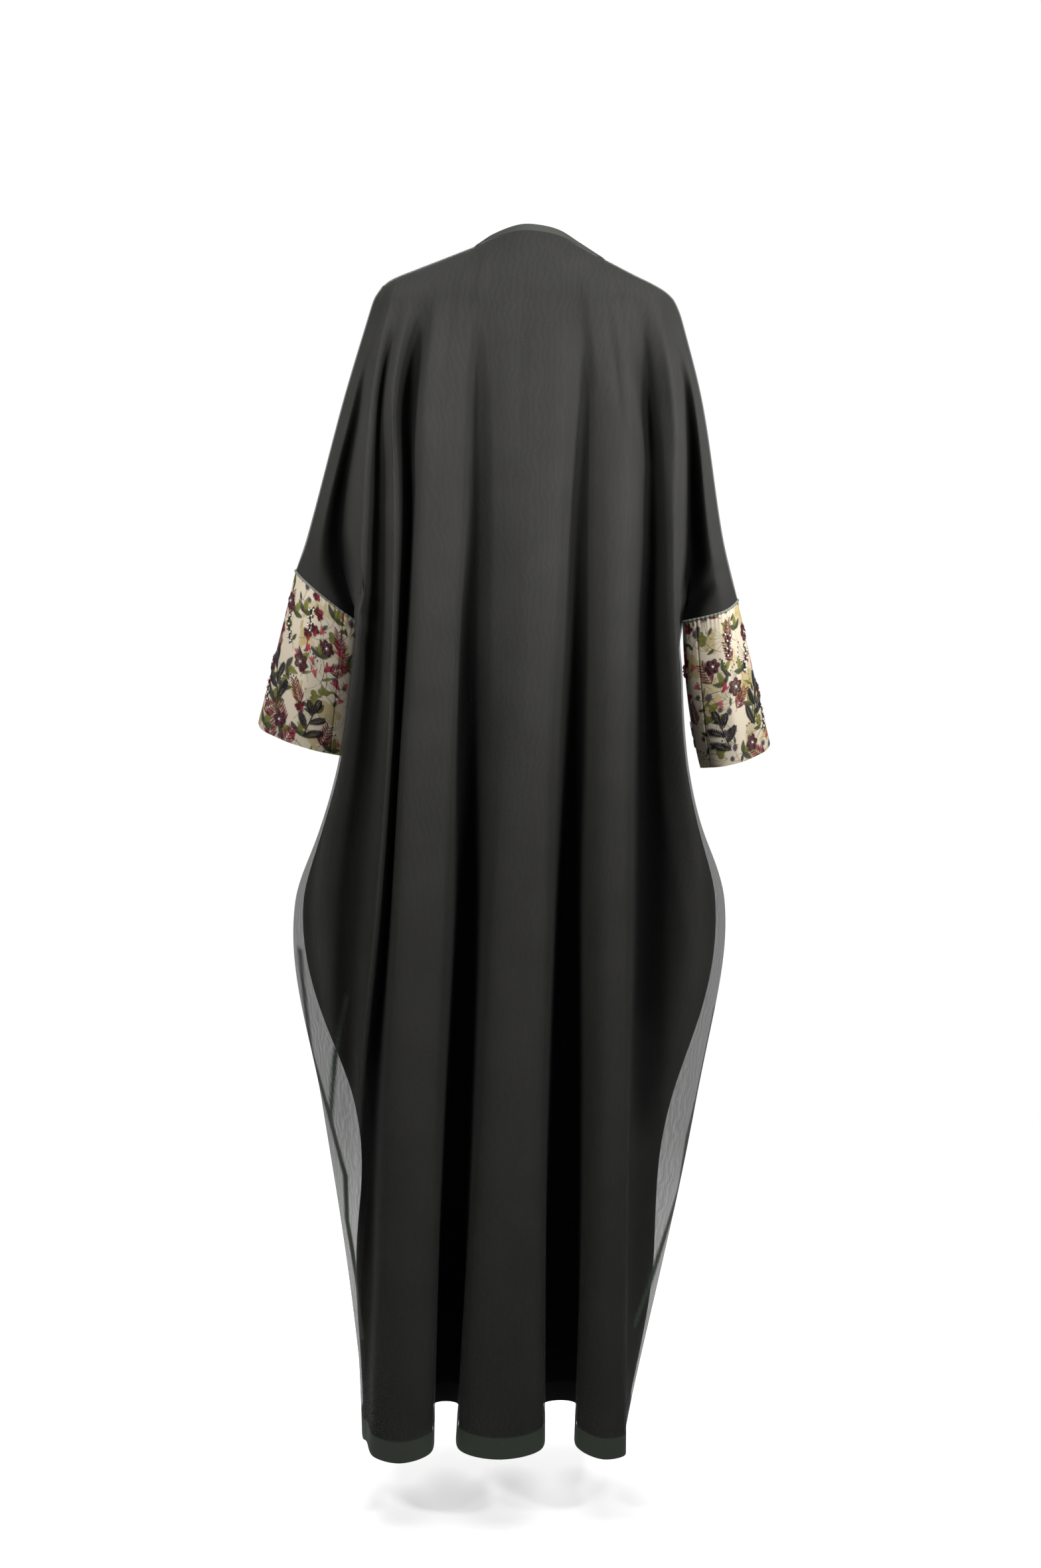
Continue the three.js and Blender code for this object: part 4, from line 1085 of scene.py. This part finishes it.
beadLooks = {
    "wine": {"colour": "#3d0c17", "roughness": 0.22, "template": ball(3, 6)},
    "jet": {"colour": "#130c0f", "roughness": 0.4, "template": ball(3, 6)},
    "pearl": {"colour": "#bdb8ad", "roughness": 0.2, "template": ball(6, 8)},
    "silver": {"colour": "#8f8a82", "roughness": 0.3, "template": ball(3, 6)},
}
for kind, look in beadLooks.items():
    look["material"] = beadMaterial(kind, look)
# The piping's organza is made much lighter than the binding's: a painted highlight along the piping
pipingHighlightCloth = bindingMaterial("piping", "#85877b")


# Piping in the seam over a cuff: a thin tube along its uppermost row
def cuffPiping(name, points, facing):
    ring = points[0] + (points[0] - points[6]) * 0.02
    out = normalsOf(points, facing)[3]
    up = unit(ring - points[6])
    turn = np.linspace(0, 2 * math.pi, 8, endpoint=False)[:, None, None]
    tube = ring + (out * np.cos(turn) + up * np.sin(turn)) * cuff["pipingRadius"]
    tube = np.concatenate([tube, tube[:1]])
    piece = gridMesh(name, tube, -facing, clothUv(tube), closedAcross=True)
    finishPiece(piece, [], pipingHighlightCloth)
    return piece


printSeeds = {"left": 5, "right": 11}
for side in ("left", "right"):
    points, turn = cuffGrid(side)
    facing = 1 if side == "left" else -1
    piece = gridMesh(f"cuff_{side}_cloth", points, facing, clothUv(points), closedAcross=True)
    colours = cuffPrint(points, printSeeds[side])
    onSeam = np.exp(-(((turn - cuff["seamTurn"]) / 0.010) ** 2))[None, :, None]
    colours *= 1 - 0.5 * onSeam
    layer = piece.data.color_attributes.new("print", "FLOAT_COLOR", "POINT")
    opaque = np.concatenate([colours, np.ones_like(colours[..., :1])], -1)
    layer.data.foreach_set("color", opaque.astype(np.float32).ravel())
    finishPiece(piece, [f"cuff_{side}"], printedCloth)
    for kind, look in beadLooks.items():
        sewn = []
        for motif, at, down, angle, size in embroidery:
            own = beadKinds[motif](size)
            if kind in own:
                low = down if side == "left" else min(0.9, down + 0.03)
                sewn.append(((at, low), turned(own[kind], 0, 0, angle)))
        sewBeads(f"{kind}_beads_{side}", points, facing, sewn, look)
    cuffPiping(f"cuff_piping_{side}", points, facing)
print("cuffs")

# Floor, light and camera
stage = {"backdrop": 1.0, "fill": 0.12}  # the white behind as the camera sees it, and the light it gives
lights = {  # the first four are spots, set to rake the folds from both sides; power in watts, metres, degrees
    "right": {
        "place": (-1.25, 1.6, 0.6), "target": (-0.03, 0.1, -0.3), "size": 0.4, "power": 290.0, "cone": 54},
    "left": {
        "place": (1.05, 1.75, 0.6), "target": (0.03, 0.1, -0.3), "size": 0.4, "power": 190.0, "cone": 54},
    "sleeveRight": {
        "place": (-1.7, 1.0, 0.1), "target": (-0.2, 0, -0.25), "size": 0.5, "power": 480.0, "cone": 22},
    "sleeveLeft": {
        "place": (1.7, 1.0, 0.1), "target": (0.2, 0, -0.25), "size": 0.5, "power": 220.0, "cone": 22},
    "behind": {"place": (0.3, -2.4, 0.5), "target": (0, 0, -0.6), "size": 1.2, "power": 40.0},
    "above": {"place": (0, 0.5, 1.8), "target": (0, 0.3, -1), "size": 2.5, "power": 40.0},
}
stageFloor = {  # a disc of matt white paint that fades into the white of the studio
    "z": -1.56, "colour": "#fbfbfa", "radius": 2.6, "sides": 64, "fadeFrom": 0.8, "fadeTo": 2.4, "glow": 0.6,
    "roughness": 0.9, "gloss": 0.1,
}
floorMesh = bpy.data.meshes.new("floor")
turn = np.linspace(0, 2 * math.pi, stageFloor["sides"], endpoint=False)
rim = np.column_stack([np.cos(turn), np.sin(turn), 0 * turn]) * stageFloor["radius"]
fillMesh(floorMesh, rim + np.array([0, 0, stageFloor["z"]]), np.arange(stageFloor["sides"])[None])
floor = addObject("floor", floorMesh)
floorMaterial, floorTree, floorShader = newMaterial("painted_floor")
place = node(floorTree, "ShaderNodeTexCoord").outputs["Object"]
flat = node(floorTree, "ShaderNodeVectorMath", {0: place, 1: (1, 1, 0)}, operation="MULTIPLY")
away = node(floorTree, "ShaderNodeVectorMath", {0: flat.outputs["Vector"]}, operation="LENGTH")
fade = node(floorTree, "ShaderNodeMapRange", {
    "Value": away.outputs["Value"], "From Min": stageFloor["fadeFrom"], "From Max": stageFloor["fadeTo"],
    "To Min": 1.0, "To Max": 0.0}, interpolation_type="SMOOTHSTEP")
floorTree.links.new(fade.outputs["Result"], floorShader.inputs["Alpha"])
floorShader.inputs["Base Color"].default_value = hexColour(stageFloor["colour"])
floorShader.inputs["Emission Color"].default_value = (1, 1, 1, 1)
floorShader.inputs["Emission Strength"].default_value = stageFloor["glow"]
floorShader.inputs["Roughness"].default_value = stageFloor["roughness"]
floorShader.inputs["Specular IOR Level"].default_value = stageFloor["gloss"]
floor.data.materials.append(floorMaterial)

world = bpy.data.worlds.new("studio")
world.use_nodes = True
direct = node(world.node_tree, "ShaderNodeLightPath").outputs["Is Camera Ray"]
strength = node(world.node_tree, "ShaderNodeMapRange", {
    "Value": direct, "To Min": stage["fill"], "To Max": stage["backdrop"]})
background = world.node_tree.nodes["Background"]
background.inputs["Color"].default_value = (1, 1, 1, 1)
world.node_tree.links.new(strength.outputs["Result"], background.inputs["Strength"])
bpy.context.scene.world = world


# Lamp aimed at a target: a spot with a soft edge when it has a cone, else a round area lamp
def addLight(name, place, target, size, power, cone=None):
    data = bpy.data.lights.new(name, "SPOT" if cone else "AREA")
    if cone:
        data.shadow_soft_size, data.spot_size, data.spot_blend = size / 2, math.radians(cone), 1.0
    else:
        data.shape, data.size = "DISK", size
    data.energy = power
    light = bpy.data.objects.new(name, data)
    bpy.context.collection.objects.link(light)
    light.location = place
    light.visible_camera = False
    light.rotation_euler = (Vector(target) - Vector(place)).to_track_quat("-Z", "Y").to_euler()


for name, light in lights.items():
    addLight(name, **light)

camera = {"place": (0.022, 3.020, -0.420), "target": (0.022, 0.12, -0.6588), "lens": 55.87}
cameraData = bpy.data.cameras.new("camera")
cameraData.lens = camera["lens"]
cameraData.clip_end = 100
cameraObject = bpy.data.objects.new("camera", cameraData)
bpy.context.collection.objects.link(cameraObject)
cameraObject.location = camera["place"]
cameraObject.rotation_euler = (
    Vector(camera["target"]) - Vector(camera["place"])).to_track_quat("-Z", "Y").to_euler()
bpy.context.scene.camera = cameraObject
bpy.context.scene.view_settings.view_transform = "Standard"

print("scene ready")
